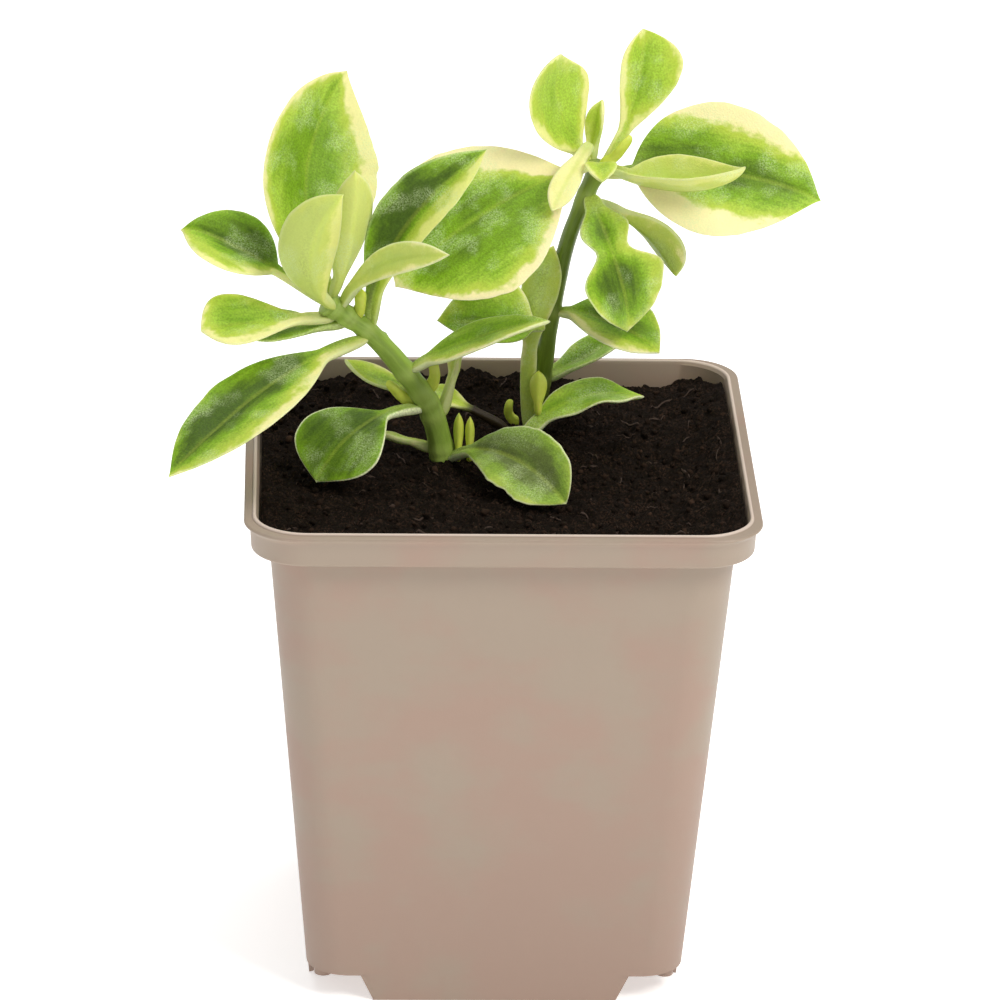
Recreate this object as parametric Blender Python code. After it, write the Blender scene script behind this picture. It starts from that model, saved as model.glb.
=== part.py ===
"""Young variegated ice plant in a thin square nursery pot filled with soil.

Every named object is one physical piece. Lengths in the tables are millimetres and angles degrees.
"""

import math
from dataclasses import dataclass

import bmesh
import bpy
from mathutils import Vector

MM = 0.001

# Pot: half widths of its square section, and heights above the table.
RIM_HALF = 45.0
RIM_HEIGHT = 94.0
LIP_STEP = 0.4
COLLAR_HALF = 44.0
COLLAR_TOP = 92.6
COLLAR_BOTTOM = 88.0
BODY_TOP_HALF = 40.6
BODY_BOTTOM_HALF = 33.2
WALL = 0.9
CORNER_RADIUS = 9.5
FLOOR_BOTTOM = 6.0
FLOOR_TOP = 7.0
FOOT_HEIGHT = 4.8
FOOT_HALF_TOP = 24.0
FOOT_HALF_BOTTOM = 21.7
DRAIN_RADIUS = 3.0
DRAIN_OFFSET = 18.0
ARC_POINTS = 5

# Soil: it stops short of the pot wall by the gap.
GAP = 0.3
SOIL_LEVEL = 90.0
SOIL_EDGE_DROP = 0.7
SOIL_RINGS = (0.12, 0.25, 0.38, 0.51, 0.63, 0.75, 0.86, 0.95, 1.0)
HOLE_FLOOR = 83.5

# Stems: x, y, z and radius at points along each, from below the soil to the growing tip.
STEMS = {
    "left": (
        (-9.0, 4.5, 84.0, 2.3),
        (-9.8, 4.0, 90.0, 2.2),
        (-12.2, 2.5, 99.7, 2.05),
        (-17.3, 1.0, 107.9, 1.9),
        (-22.9, -0.5, 114.8, 1.75),
        (-27.5, -1.5, 118.7, 1.8),
        (-31.0, -2.2, 121.4, 2.2),
    ),
    "right": (
        (6.6, 19.3, 84.0, 1.8),
        (7.0, 19.0, 89.5, 1.75),
        (8.2, 18.0, 98.4, 1.65),
        (9.2, 16.5, 108.5, 1.55),
        (10.3, 15.5, 116.6, 1.5),
        (12.3, 14.0, 127.5, 1.4),
        (15.6, 13.0, 137.3, 1.5),
        (17.9, 12.2, 142.6, 2.3),
    ),
}
STEM_STEPS = 18

GREEN = (0.20, 0.34, 0.08, 1.0)
YELLOW_GREEN = (0.50, 0.60, 0.14, 1.0)
STEM_GREEN = (0.27, 0.40, 0.16, 1.0)
SOIL_BROWN = (0.016, 0.011, 0.008, 1.0)
POT_TAUPE = (0.45, 0.33, 0.25, 1.0)


@dataclass
class Leaf:
    """One leaf with its stalk: where it grows, which way it goes, and its sizes.

    azimuth turns from +X towards +Y and rise is above the horizon, both where the leaf starts.
    bend and hook change the rise towards the tip; sweep changes the azimuth.
    veer is how far the midrib turns sideways within the blade by the tip.
    shoulder and point say how gently the blade widens and narrows; stalk is the stalk's share of the length.
    fold, cup and wave shape the blade across; skew makes one half wider; waist narrows it at waist_at.
    clear is how far the leaf starts from the stem's skin.
    """

    name: str
    stem: str = ""
    share: float = 0.0
    root: tuple = ()
    azimuth: float = 0.0
    rise: float = 0.0
    bend: float = 0.0
    hook: float = 0.0
    sweep: float = 0.0
    veer: float = 0.0
    length: float = 20.0
    width: float = 8.0
    stalk: float = 0.1
    stalk_width: float = 2.6
    shoulder: float = 1.0
    point: float = 0.75
    roll: float = 0.0
    twist: float = 0.0
    fold: float = 10.0
    cup: float = 0.1
    skew: float = 0.0
    wave: float = 0.0
    waist: float = 0.0
    waist_at: float = 0.4
    thick: float = 1.2
    clear: float = 0.45
    around: int = 8
    along: int = 10
    colour: tuple = GREEN


# Blade shapes: how gently the blade widens from its stalk and narrows to its tip.
OVAL = {"shoulder": 0.9, "point": 0.8}
SPOON = {"shoulder": 1.2, "point": 0.7}
EGG = {"shoulder": 0.75, "point": 0.9}
# A wide blade takes a finer mesh than a narrow one.
WIDE = {"around": 12, "along": 12}

LEAVES = (
    # Left shoot and what grows at its foot.
    Leaf("left_tall_leaf", stem="left", share=1.0, azimuth=143, rise=53, bend=25, veer=-55,
         length=42, width=23, shoulder=0.65, point=0.75, roll=-20, fold=10, cup=0.12, skew=-0.12,
         **WIDE),
    Leaf("left_inner_leaf_front", stem="left", share=1.0, azimuth=225, rise=36, bend=80, veer=30,
         length=26, width=11, roll=44, fold=20, cup=0.3, skew=-0.1, shoulder=0.7, point=0.75, **WIDE),
    Leaf("left_inner_leaf_back", stem="left", share=1.0, azimuth=325, rise=68, bend=25,
         length=24, width=10, roll=-30, fold=20, cup=0.3, skew=0.25, **OVAL),
    Leaf("left_far_leaf", stem="left", share=0.97, azimuth=172, rise=32, bend=-12, hook=-25, sweep=-15,
         length=29, width=16, stalk=0.35, roll=-25, fold=20, cup=0.05, skew=0.15, clear=0.6,
         **EGG, **WIDE),
    Leaf("left_spoon_leaf", stem="left", share=0.92, azimuth=192, rise=2, veer=10,
         length=23, width=13, stalk=0.15, roll=-25, shoulder=1.3, point=0.5, **WIDE),
    Leaf("left_shaded_leaf", stem="left", share=0.82, azimuth=180, rise=-6,
         length=17, width=9, roll=-20, **SPOON),
    Leaf("left_hanging_leaf", stem="left", share=0.69, azimuth=218, rise=-3, bend=-38, hook=10,
         length=46, width=16.5, stalk=0.18, stalk_width=3.4, roll=-20, twist=20, fold=5, cup=0.05,
         skew=0.1, **OVAL, **WIDE),
    Leaf("left_recurved_leaf", stem="left", share=0.9, azimuth=318, rise=59, bend=-62, hook=20,
         length=29, width=5.8, roll=70, **OVAL),
    Leaf("left_folded_leaf", stem="left", share=0.7, azimuth=358, rise=88, bend=-65, hook=20,
         length=39, width=11, stalk=0.12, stalk_width=3.4, roll=60, twist=30, fold=18, cup=0.05,
         skew=0.2, **OVAL, **WIDE),
    Leaf("left_forward_leaf", stem="left", share=0.48, azimuth=338, rise=36, bend=-20,
         length=28, width=10, stalk_width=3, roll=30, twist=-20, fold=6, skew=-0.1, **EGG, **WIDE),
    Leaf("left_narrow_leaf", stem="left", share=0.31, azimuth=20, rise=72, bend=10,
         length=12, width=5, stalk=0.45, fold=15, **SPOON),
    Leaf("left_broad_leaf", stem="left", share=0.36, azimuth=211, rise=10, bend=-65, sweep=10,
         length=25, width=18, stalk=0.25, roll=-5, twist=-15, fold=5, cup=0.05,
         shoulder=1.1, point=0.8, **WIDE),
    Leaf("left_behind_leaf", stem="left", share=0.4, azimuth=150, rise=6, bend=20, hook=25, sweep=20,
         length=13.5, width=6, roll=-15, twist=10, **OVAL),
    Leaf("left_soil_leaf", stem="left", share=0.17, azimuth=308, rise=34, bend=-64,
         length=33, width=13.5, stalk=0.15, stalk_width=2.4, roll=35, twist=10, fold=16, cup=0.05,
         shoulder=0.9, point=0.5, **WIDE),
    Leaf("left_dry_stalk_leaf", root=(1, 16, 91.1), azimuth=172, rise=30, bend=-12,
         length=15, width=5.5, stalk=0.42, stalk_width=1.6, roll=-20, **SPOON),
    # Right shoot and what grows at its foot.
    Leaf("right_largest_leaf", stem="right", share=0.97, azimuth=198, rise=-12, bend=-32,
         length=41, width=30, roll=-40, fold=5, cup=0.05, skew=0.08, **OVAL, **WIDE),
    Leaf("right_under_leaf", root=(6.8, 10.5, 112), azimuth=184, rise=6,
         length=18, width=12, stalk=0.05, roll=-55, fold=8, skew=-0.4, shoulder=0.5, point=0.8),
    Leaf("right_upright_leaf", root=(6.3, 12.9, 90.8), azimuth=342, rise=98, bend=-27,
         length=37, width=7.0, stalk=0.4, stalk_width=3, roll=-85, fold=8, cup=0.05, **SPOON),
    Leaf("right_waisted_leaf", stem="right", share=0.84, azimuth=294, rise=-40, bend=-50, sweep=45,
         length=25, width=18, stalk=0.05, stalk_width=4, shoulder=1.0, point=0.8, roll=20, fold=8,
         waist=0.6, waist_at=0.36, **WIDE),
    Leaf("right_arched_leaf", stem="right", share=0.82, azimuth=8, rise=-15, bend=-55,
         length=22, width=8, stalk=0.2, roll=-50, twist=10, fold=18, **SPOON, **WIDE),
    Leaf("right_dark_leaf", stem="right", share=0.52, azimuth=340, rise=4, bend=-40,
         length=19.5, width=13, stalk=0.05, roll=25, **OVAL, **WIDE),
    Leaf("right_back_leaf", stem="right", share=0.3, azimuth=33, rise=16,
         length=17, width=7, stalk_width=4, roll=15, fold=25, **OVAL),
    Leaf("right_wavy_leaf", root=(5.0, 9.6, 90.8), azimuth=14, rise=58, bend=-92, hook=25,
         length=25, width=8, stalk=0.2, stalk_width=3.2, roll=45, twist=-45, wave=0.6,
         shoulder=0.8, point=0.8, **WIDE),
    Leaf("right_big_leaf", stem="right", share=0.97, azimuth=355, rise=12, bend=-35,
         length=38, width=25, roll=45, twist=15, fold=5, cup=0.05, shoulder=0.65, point=0.9, **WIDE),
    Leaf("right_channel_leaf", stem="right", share=1.0, azimuth=330, rise=-13, bend=44, hook=20,
         length=27.5, width=11, shoulder=0.6, point=0.9, roll=15, fold=42),
    Leaf("right_top_leaf_left", stem="right", share=0.97, azimuth=172, rise=48, bend=50, hook=20,
         length=21.5, width=18.5, roll=-30, fold=5, skew=0.1, shoulder=0.95, point=0.6, **WIDE),
    Leaf("right_top_leaf_right", stem="right", share=0.99, azimuth=40, rise=44, bend=38, sweep=35,
         length=25, width=12.3, stalk=0.2, roll=40, fold=25, skew=-0.2, shoulder=1.2, point=0.5, **WIDE),
    Leaf("right_top_leaf_small", stem="right", share=1.0, azimuth=45, rise=78,
         length=10, width=4.5, fold=20, **OVAL),
    Leaf("right_front_leaf", stem="right", share=1.0, azimuth=273, rise=34, bend=-70,
         length=7.5, width=6, stalk_width=1.8, fold=15, **OVAL),
    Leaf("right_pale_leaf", root=(15.0, 10.4, 145.8), azimuth=238, rise=-26, bend=-16,
         length=14.5, width=5, roll=-30, fold=10, shoulder=0.9, point=0.6),
    # Young buds.
    Leaf("soil_bud_tall", root=(-7.0, 3.4, 90.7), azimuth=270, rise=86, length=8, width=1.9, stalk=0.02,
         stalk_width=1.4, thick=1.6, along=8, colour=YELLOW_GREEN),
    Leaf("soil_bud_short", root=(-5.0, 3.4, 90.7), azimuth=270, rise=84, length=7.4, width=1.7, stalk=0.02,
         stalk_width=1.4, thick=1.6, along=8, colour=YELLOW_GREEN),
    Leaf("left_stem_bud_low", stem="left", share=0.39, azimuth=190, rise=45, length=5.5, width=2.2,
         stalk=0.02, stalk_width=1.2, thick=1.4, clear=0.7, along=8, colour=YELLOW_GREEN),
    Leaf("left_stem_bud_high", stem="left", share=0.40, azimuth=335, rise=80, bend=30, length=5.5, width=1.8,
         stalk=0.02, stalk_width=1.2, thick=1.4, clear=0.6, along=8, colour=YELLOW_GREEN),
    Leaf("left_axil_bud", stem="left", share=0.79, azimuth=300, rise=80, length=4.2, width=2.2,
         stalk=0.02, stalk_width=1.6, thick=1.6, clear=0.6, along=8, colour=YELLOW_GREEN),
    Leaf("left_small_low_leaf", stem="left", share=0.205, azimuth=176, rise=20, bend=-10,
         length=9.0, width=2.2,
         stalk=0.3, stalk_width=1.6, thick=1.2, along=8),
    Leaf("right_foot_bud", root=(7.4, 10.8, 96.8), azimuth=270, rise=90, length=7, width=3.2,
         stalk=0.02, stalk_width=1.6, thick=1.6, along=8, colour=YELLOW_GREEN),
    Leaf("right_foot_sprout", root=(3.3, 20.2, 90.8), azimuth=170, rise=60, bend=50, length=4.0, width=1.6,
         stalk=0.02, stalk_width=1.2, thick=1.2, along=8, colour=YELLOW_GREEN),
    Leaf("right_top_bud", root=(18.6, 11.2, 142.9), azimuth=350, rise=52, length=7.0, width=2.2,
         stalk=0.1, stalk_width=1.4, thick=1.4, clear=0.8, along=8, colour=YELLOW_GREEN),
)


def clear_scene():
    for old in list(bpy.data.objects):
        bpy.data.objects.remove(old, do_unlink=True)


def new_collection(name, hidden=False):
    made = bpy.data.collections.new(name)
    made.hide_render = hidden
    bpy.context.scene.collection.children.link(made)
    return made


def new_material(name, colour, roughness):
    made = bpy.data.materials.new(name)
    made.use_nodes = True
    shader = made.node_tree.nodes["Principled BSDF"]
    shader.inputs["Base Color"].default_value = colour
    shader.inputs["Roughness"].default_value = roughness
    shader.inputs["Metallic"].default_value = 0.0
    return made


def object_from(mesh_data, name, collection, colour=None, roughness=0.6):
    """An object from a bmesh in millimetres, with a material of its own where a colour is given."""
    bmesh.ops.scale(mesh_data, vec=(MM, MM, MM), verts=mesh_data.verts)
    mesh = bpy.data.meshes.new(name)
    mesh_data.to_mesh(mesh)
    mesh_data.free()
    made = bpy.data.objects.new(name, mesh)
    collection.objects.link(made)
    if colour:
        made.data.materials.append(new_material(name + "_material", colour, roughness))
    return made


def make_cutter(mesh_data, name, collection):
    made = object_from(mesh_data, name, collection)
    made.hide_render = True
    made.display_type = "WIRE"
    return made


def cut(target, cutter):
    modifier = target.modifiers.new("cut_" + cutter.name, "BOOLEAN")
    modifier.operation = "DIFFERENCE"
    modifier.solver = "EXACT"
    modifier.object = cutter


# Square turning: a profile of half width and height goes round a square with rounded corners.

def square_angles():
    """The turning angles of the section: each quarter has a wall middle and one rounded corner."""
    angles = []
    for quarter in range(4):
        angles.append(quarter * 90.0)
        for index in range(ARC_POINTS):
            angles.append(quarter * 90.0 + 18.0 + 54.0 * index / (ARC_POINTS - 1))
    return angles


def square_point(half, corner, angle):
    """The point of a rounded square that the given turning angle stands for."""
    quarter = math.floor(angle / 90.0 + 1e-6)
    local = angle - 90.0 * quarter
    if local < 17.0:
        x, y = half, 0.0
    else:
        arc = math.radians(90.0 * (local - 18.0) / 54.0)
        x = half - corner + corner * math.cos(arc)
        y = half - corner + corner * math.sin(arc)
    turn = math.radians(90.0 * quarter)
    return x * math.cos(turn) - y * math.sin(turn), x * math.sin(turn) + y * math.cos(turn)


def square_turned(profile, height_at=None):
    """A closed solid from profile points (half width, height), first and last on the axis."""
    work = bmesh.new()
    angles = square_angles()
    steps = len(angles)
    chain = [work.verts.new((half, 0.0, height)) for half, height in profile]
    edges = [work.edges.new(pair) for pair in zip(chain[:-1], chain[1:])]
    bmesh.ops.spin(work, geom=chain + edges, cent=(0, 0, 0), axis=(0, 0, 1), angle=2 * math.pi,
                   steps=steps, use_merge=True)
    for vert in work.verts:
        radius = math.hypot(vert.co.x, vert.co.y)
        if radius < 1e-4:
            vert.co.x = 0.0
            vert.co.y = 0.0
        else:
            step = round(math.degrees(math.atan2(vert.co.y, vert.co.x)) * steps / 360.0) % steps
            corner = CORNER_RADIUS * radius / RIM_HALF
            vert.co.x, vert.co.y = square_point(radius, corner, angles[step])
        if height_at:
            vert.co.z = height_at(vert.co)
    bmesh.ops.remove_doubles(work, verts=work.verts, dist=1e-3)
    bmesh.ops.recalc_face_normals(work, faces=work.faces)
    return work


def pot_profile():
    inner_top = COLLAR_HALF - WALL - 0.5
    return (
        (0.0, FLOOR_BOTTOM),
        (BODY_BOTTOM_HALF - WALL, FLOOR_BOTTOM),
        (BODY_BOTTOM_HALF - WALL - 0.1, 0.0),
        (BODY_BOTTOM_HALF, 0.0),
        (BODY_TOP_HALF, COLLAR_BOTTOM - 0.4),
        (COLLAR_HALF - 1.5, COLLAR_BOTTOM - 0.2),
        (COLLAR_HALF - 0.7, COLLAR_BOTTOM + 0.5),
        (COLLAR_HALF, COLLAR_TOP),
        (COLLAR_HALF - 0.2, COLLAR_TOP + 0.2),
        (RIM_HALF - 0.3, COLLAR_TOP + 0.4),
        (RIM_HALF, RIM_HEIGHT - LIP_STEP - 0.3),
        (RIM_HALF - 0.3, RIM_HEIGHT - LIP_STEP),
        (RIM_HALF - 1.3, RIM_HEIGHT - LIP_STEP),
        (RIM_HALF - 1.6, RIM_HEIGHT),
        (RIM_HALF - 2.1, RIM_HEIGHT),
        (inner_top, RIM_HEIGHT - 0.8),
        (COLLAR_HALF - 0.7 - WALL, COLLAR_BOTTOM + 0.2),
        (BODY_TOP_HALF - WALL, COLLAR_BOTTOM - 1.0),
        (BODY_BOTTOM_HALF - WALL + 0.55, FLOOR_TOP),
        (0.0, FLOOR_TOP),
    )


def corner_cutter():
    """A tapered block over one bottom corner: what is left between two of them is a foot."""
    work = bmesh.new()
    bmesh.ops.create_cube(work, size=1.0)
    for vert in work.verts:
        top = vert.co.z > 0
        near = FOOT_HALF_TOP if top else FOOT_HALF_BOTTOM - 0.5
        vert.co.x = 60.0 if vert.co.x > 0 else near
        vert.co.y = 60.0 if vert.co.y > 0 else near
        vert.co.z = FOOT_HEIGHT if top else -1.0
    return work


def drain_cutter():
    work = bmesh.new()
    bmesh.ops.create_cone(work, cap_ends=True, segments=12, radius1=DRAIN_RADIUS, radius2=DRAIN_RADIUS,
                          depth=6.0)
    bmesh.ops.translate(work, vec=(DRAIN_OFFSET, DRAIN_OFFSET, FLOOR_TOP), verts=work.verts)
    return work


def build_pot(parts, cutters):
    pot = object_from(square_turned(pot_profile()), "pot", parts, POT_TAUPE, 0.55)
    for quarter in range(4):
        for name, shape in (("foot_corner", corner_cutter()), ("drain", drain_cutter())):
            cutter = make_cutter(shape, "%s_%d" % (name, quarter), cutters)
            cutter.rotation_euler.z = math.radians(90.0 * quarter)
            cut(pot, cutter)


def soil_height(x, y):
    """Height of the soil's surface: low mounds, lower at the right and where it meets the wall."""
    mound = 1.1 * math.exp(-((x + 12.0) ** 2 + (y - 30.0) ** 2) / 260.0)
    rough = 0.25 * math.sin(0.45 * x + 0.6) * math.cos(0.38 * y) + 0.18 * math.sin(0.9 * y + 0.5 * x)
    edge = max(abs(x), abs(y)) / RIM_HALF
    return SOIL_LEVEL + mound + rough - SOIL_EDGE_DROP * max(edge, 0.0) ** 6


def soil_profile():
    top_half = COLLAR_HALF - 0.7 - WALL - GAP
    top = [(top_half * share, SOIL_LEVEL) for share in SOIL_RINGS]
    return (
        [(0.0, SOIL_LEVEL)]
        + top
        + [
            (top_half, COLLAR_BOTTOM + 0.9),
            (BODY_TOP_HALF - WALL - GAP + 0.1, COLLAR_BOTTOM - 0.5),
            (BODY_TOP_HALF - WALL - GAP - 0.05, COLLAR_BOTTOM - 1.1),
            (BODY_BOTTOM_HALF - WALL + 0.55 - GAP, FLOOR_TOP + GAP),
            (0.0, FLOOR_TOP + GAP),
        ]
    )


def stem_point(stem, share):
    """Centre, direction and radius of a stem at a share of its length, on a smooth curve."""
    points = [Vector(entry) for entry in STEMS[stem]]
    points = [2 * points[0] - points[1]] + points + [2 * points[-1] - points[-2]]
    spans = len(points) - 3
    place = min(max(share, 0.0), 1.0) * spans
    first = min(int(place), spans - 1)
    f = place - first
    a, b, c, d = points[first:first + 4]
    value = 0.5 * (2 * b + (c - a) * f + (2 * a - 5 * b + 4 * c - d) * f ** 2
                   + (3 * b - a - 3 * c + d) * f ** 3)
    slope = 0.5 * ((c - a) + 2 * (2 * a - 5 * b + 4 * c - d) * f + 3 * (3 * b - a - 3 * c + d) * f ** 2)
    return value.xyz, slope.xyz.normalized(), value.w


def build_stem(stem, parts):
    name = stem + "_stem"
    curve = bpy.data.curves.new(name, "CURVE")
    curve.dimensions = "3D"
    curve.bevel_depth = MM
    curve.bevel_resolution = 2
    curve.use_fill_caps = True
    spline = curve.splines.new("POLY")
    spline.points.add(STEM_STEPS - 1)
    for index, entry in enumerate(spline.points):
        centre, _, radius = stem_point(stem, index / (STEM_STEPS - 1))
        entry.co = (*(centre * MM), 1.0)
        entry.radius = radius
    curve.materials.append(new_material(name + "_material", STEM_GREEN, 0.5))
    parts.objects.link(bpy.data.objects.new(name, curve))


def hole_cutter(stem):
    """A plain hole round the buried end of a stem."""
    foot = Vector(STEMS[stem][0])
    out = Vector(STEMS[stem][1])
    lean = (out - foot).xyz.normalized()
    work = bmesh.new()
    bmesh.ops.create_cone(work, cap_ends=True, segments=12, radius1=foot.w + 0.45, radius2=foot.w + 0.45,
                          depth=20.0)
    bmesh.ops.rotate(work, verts=work.verts, matrix=lean.to_track_quat("Z", "Y").to_matrix())
    bmesh.ops.translate(work, verts=work.verts, vec=foot.xyz + lean * (10.0 + HOLE_FLOOR - foot.z))
    return work


def build_soil(parts, cutters):
    def height_at(point):
        if point.z == SOIL_LEVEL:
            return soil_height(point.x, point.y)
        return point.z

    soil = object_from(square_turned(soil_profile(), height_at), "soil", parts, SOIL_BROWN, 1.0)
    for stem in STEMS:
        cut(soil, make_cutter(hole_cutter(stem), stem + "_stem_hole", cutters))


def direction(azimuth, rise):
    flat = math.cos(rise)
    return Vector((flat * math.cos(azimuth), flat * math.sin(azimuth), math.sin(rise)))


def leaf_root(leaf):
    """Where the leaf's stalk starts: at a place of its own, or just clear of the stem that bears it."""
    if leaf.root:
        return Vector(leaf.root)
    centre, along, radius = stem_point(leaf.stem, leaf.share)
    way = direction(math.radians(leaf.azimuth), math.radians(leaf.rise))
    out = (way - along * way.dot(along)).normalized()
    return centre + out * (radius + leaf.clear)


def leaf_frame(leaf, s):
    """Directions at a share s of the leaf's length: along it, across it and out of its upper face."""
    rise = math.radians(leaf.rise + leaf.bend * s + leaf.hook * s ** 5)
    azimuth = math.radians(leaf.azimuth + leaf.sweep * s)
    along = direction(azimuth, rise)
    level = Vector((-math.sin(azimuth), math.cos(azimuth), 0.0))
    upward = along.cross(level)
    roll = math.radians(leaf.roll + leaf.twist * s)
    across = level * math.cos(roll) + upward * math.sin(roll)
    upper = upward * math.cos(roll) - level * math.sin(roll)
    veer = math.radians(leaf.veer * s)
    return (along * math.cos(veer) + across * math.sin(veer),
            across * math.cos(veer) - along * math.sin(veer), upper)


def leaf_midrib(leaf, steps=60):
    """Points along the midrib, at even shares of its length."""
    points = [leaf_root(leaf)]
    for index in range(steps):
        along, _, _ = leaf_frame(leaf, (index + 0.5) / steps)
        points.append(points[-1] + along * (leaf.length / steps))
    return points


def midrib_at(points, s):
    place = s * (len(points) - 1)
    first = min(int(place), len(points) - 2)
    return points[first].lerp(points[first + 1], place - first)


def half_width(leaf, s):
    u = max(s - leaf.stalk, 0.0) / (1.0 - leaf.stalk)
    widest = leaf.shoulder / (leaf.shoulder + leaf.point)
    blade = 0.5 * leaf.width * (u / widest) ** leaf.shoulder
    blade *= (max(1.0 - u, 0.0) / (1.0 - widest)) ** leaf.point
    blade *= 1.0 - leaf.waist * math.exp(-(((u - leaf.waist_at) / 0.13) ** 2))
    stalk = 0.5 * leaf.stalk_width * max(1.0 - u, 0.0) ** 2
    return math.hypot(blade, stalk)


def leaf_point(leaf, midrib, s, c, side):
    """A point of the leaf's skin: s along it, c from -1 to 1 across it, side 1 above and -1 below."""
    _, across, upper = leaf_frame(leaf, s)
    u = max(s - leaf.stalk, 0.0) / (1.0 - leaf.stalk)
    end = math.sqrt(max(1.0 - abs(2.0 * s - 1.0) ** 8, 0.0))
    x = c * half_width(leaf, s) * (1.0 + leaf.skew * c) * end
    lift = abs(x) * (math.sin(math.radians(leaf.fold)) + leaf.cup * abs(c))
    phase = 1.3 if c < 0 else 0.0
    lift += leaf.wave * math.sin(4.0 * math.pi * u + phase) * c * c * math.sin(math.pi * u)
    thick = 0.5 * leaf.thick * (1.0 + 0.7 * math.exp(-((s / 0.25) ** 2)))
    thick *= end * math.sqrt(max(1.0 - abs(c) ** 3, 0.0))
    flat = x * math.cos(math.radians(leaf.fold))
    return midrib_at(midrib, s) + across * flat + upper * (lift + side * thick)


def split_alike(work, place):
    """Splits each four-sided face from its low corner to its high one, the same way on both faces."""
    for face in list(work.faces):
        if len(face.verts) != 4:
            continue
        ranked = sorted(face.verts, key=lambda vert: (round(place[vert][0], 5), place[vert][1]))
        bmesh.utils.face_split(face, ranked[0], ranked[3])


def build_leaf(leaf, parts):
    """A sphere whose poles are the leaf's two ends, moved onto the leaf's skin."""
    work = bmesh.new()
    bmesh.ops.create_uvsphere(work, u_segments=leaf.around, v_segments=leaf.along, radius=1.0)
    midrib = leaf_midrib(leaf)
    place = {}
    for vert in work.verts:
        s = min(max(0.5 * (1.0 - vert.co.z), 0.0), 1.0)
        ring = math.hypot(vert.co.x, vert.co.y)
        c = vert.co.x / ring if ring > 1e-5 else 0.0
        side = 0.0 if ring <= 1e-5 or abs(abs(c) - 1.0) < 1e-6 else math.copysign(1.0, vert.co.y)
        place[vert] = (s, c)
        vert.co = leaf_point(leaf, midrib, s, c, side)
    split_alike(work, place)
    bmesh.ops.reverse_faces(work, faces=work.faces)
    object_from(work, leaf.name, parts, leaf.colour, 0.45)


def main():
    clear_scene()
    parts = new_collection("potted_ice_plant")
    cutters = new_collection("cutters", hidden=True)
    build_pot(parts, cutters)
    build_soil(parts, cutters)
    for stem in STEMS:
        build_stem(stem, parts)
    for leaf in LEAVES:
        build_leaf(leaf, parts)


main()
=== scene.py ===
"""Looks of a young variegated ice plant in a square nursery pot, laid out as an add-on.

Lengths in the tables are millimetres and angles degrees, as in the solids that the frame holds.
"""

import math
from dataclasses import dataclass

import bmesh
import bpy
from mathutils import Matrix, Vector, noise


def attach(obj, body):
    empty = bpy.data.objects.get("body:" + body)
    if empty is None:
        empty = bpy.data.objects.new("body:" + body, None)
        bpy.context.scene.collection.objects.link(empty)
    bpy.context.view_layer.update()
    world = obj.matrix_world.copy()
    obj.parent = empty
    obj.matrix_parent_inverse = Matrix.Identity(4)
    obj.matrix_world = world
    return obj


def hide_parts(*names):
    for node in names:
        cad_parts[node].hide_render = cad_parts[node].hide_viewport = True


bl_info = {
    "name": "Potted Ice Plant",
    "version": (1, 0, 0),
    "blender": (4, 5, 0),
    "location": "View3D > Sidebar > Ice Plant",
    "description": "Builds the fine leaves, stems, peat and pot of a potted variegated ice plant",
    "category": "Object",
}

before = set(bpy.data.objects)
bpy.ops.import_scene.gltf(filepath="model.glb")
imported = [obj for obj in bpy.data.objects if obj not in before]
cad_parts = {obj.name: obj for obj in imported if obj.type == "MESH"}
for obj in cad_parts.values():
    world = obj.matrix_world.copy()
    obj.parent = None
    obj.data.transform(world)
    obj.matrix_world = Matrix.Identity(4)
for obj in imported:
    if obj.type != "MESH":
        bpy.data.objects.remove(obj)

MM = 0.001
BODY = "root"

# Pot: half widths of its square section, and heights above the table.
RIM_HALF = 45.0
RIM_HEIGHT = 94.0
LIP_STEP = 0.4
COLLAR_HALF = 44.0
COLLAR_TOP = 92.6
COLLAR_BOTTOM = 88.0
COLLAR_DRAFT = 0.7
SHELF_STEP = 0.4
BODY_TOP_HALF = 40.6
BODY_BOTTOM_HALF = 33.2
WALL = 0.9
CORNER_RADIUS = 9.5
FLOOR_BOTTOM = 6.0
FLOOR_TOP = 7.0
FOOT_HEIGHT = 4.8
FOOT_HALF_TOP = 24.0
FOOT_HALF_BOTTOM = 21.7
DRAIN_RADIUS = 3.0
DRAIN_OFFSET = 18.0
DRAIN_SIDES = 40
STUB_ACROSS = 30.6
STUB_BACK = 27.4
STUB_RADIUS = 1.6
STUB_BOTTOM = 2.8
STUB_TOP = 6.6
STUB_SIDES = 32
WALL_HEIGHTS = (5.2, 6.0, 20.0, 40.0, 60.0, 78.0)
CORNER_STEPS = 16
WALL_BOW = 0.25
# The turn between two faces, in degrees, from which their edge shows as sharp.
SHARP_FROM = 28.0

# Soil.
GAP = 0.3
SOIL_LEVEL = 90.0
SOIL_EDGE_DROP = 0.7
SOIL_HALF = COLLAR_HALF - COLLAR_DRAFT - WALL - GAP
SOIL_FLOOR = FLOOR_TOP + GAP
SOIL_SINK = 0.9
BACK_HEAP = 2.2
SIDE_HEAP = 4.5
BIG_LUMP = 2.3
SMALL_LUMP = 1.3
LITTER_MARGIN = 2.2

# Leaves: what their material reads, steps along a midrib, and how deep a leaf with its own root starts.
LEAF_VALUES = ("cream", "edge", "rib", "upper", "tone", "pale", "stalk", "ripe", "rim", "dry")
MIDRIB_STEPS = 60
ROOT_DEPTH = 1.6
# A bud's midrib depth and lumps in millimetres, and its edge's unevenness.
BUD_RELIEF = (0.45, 0.05, 0.02)

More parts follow.
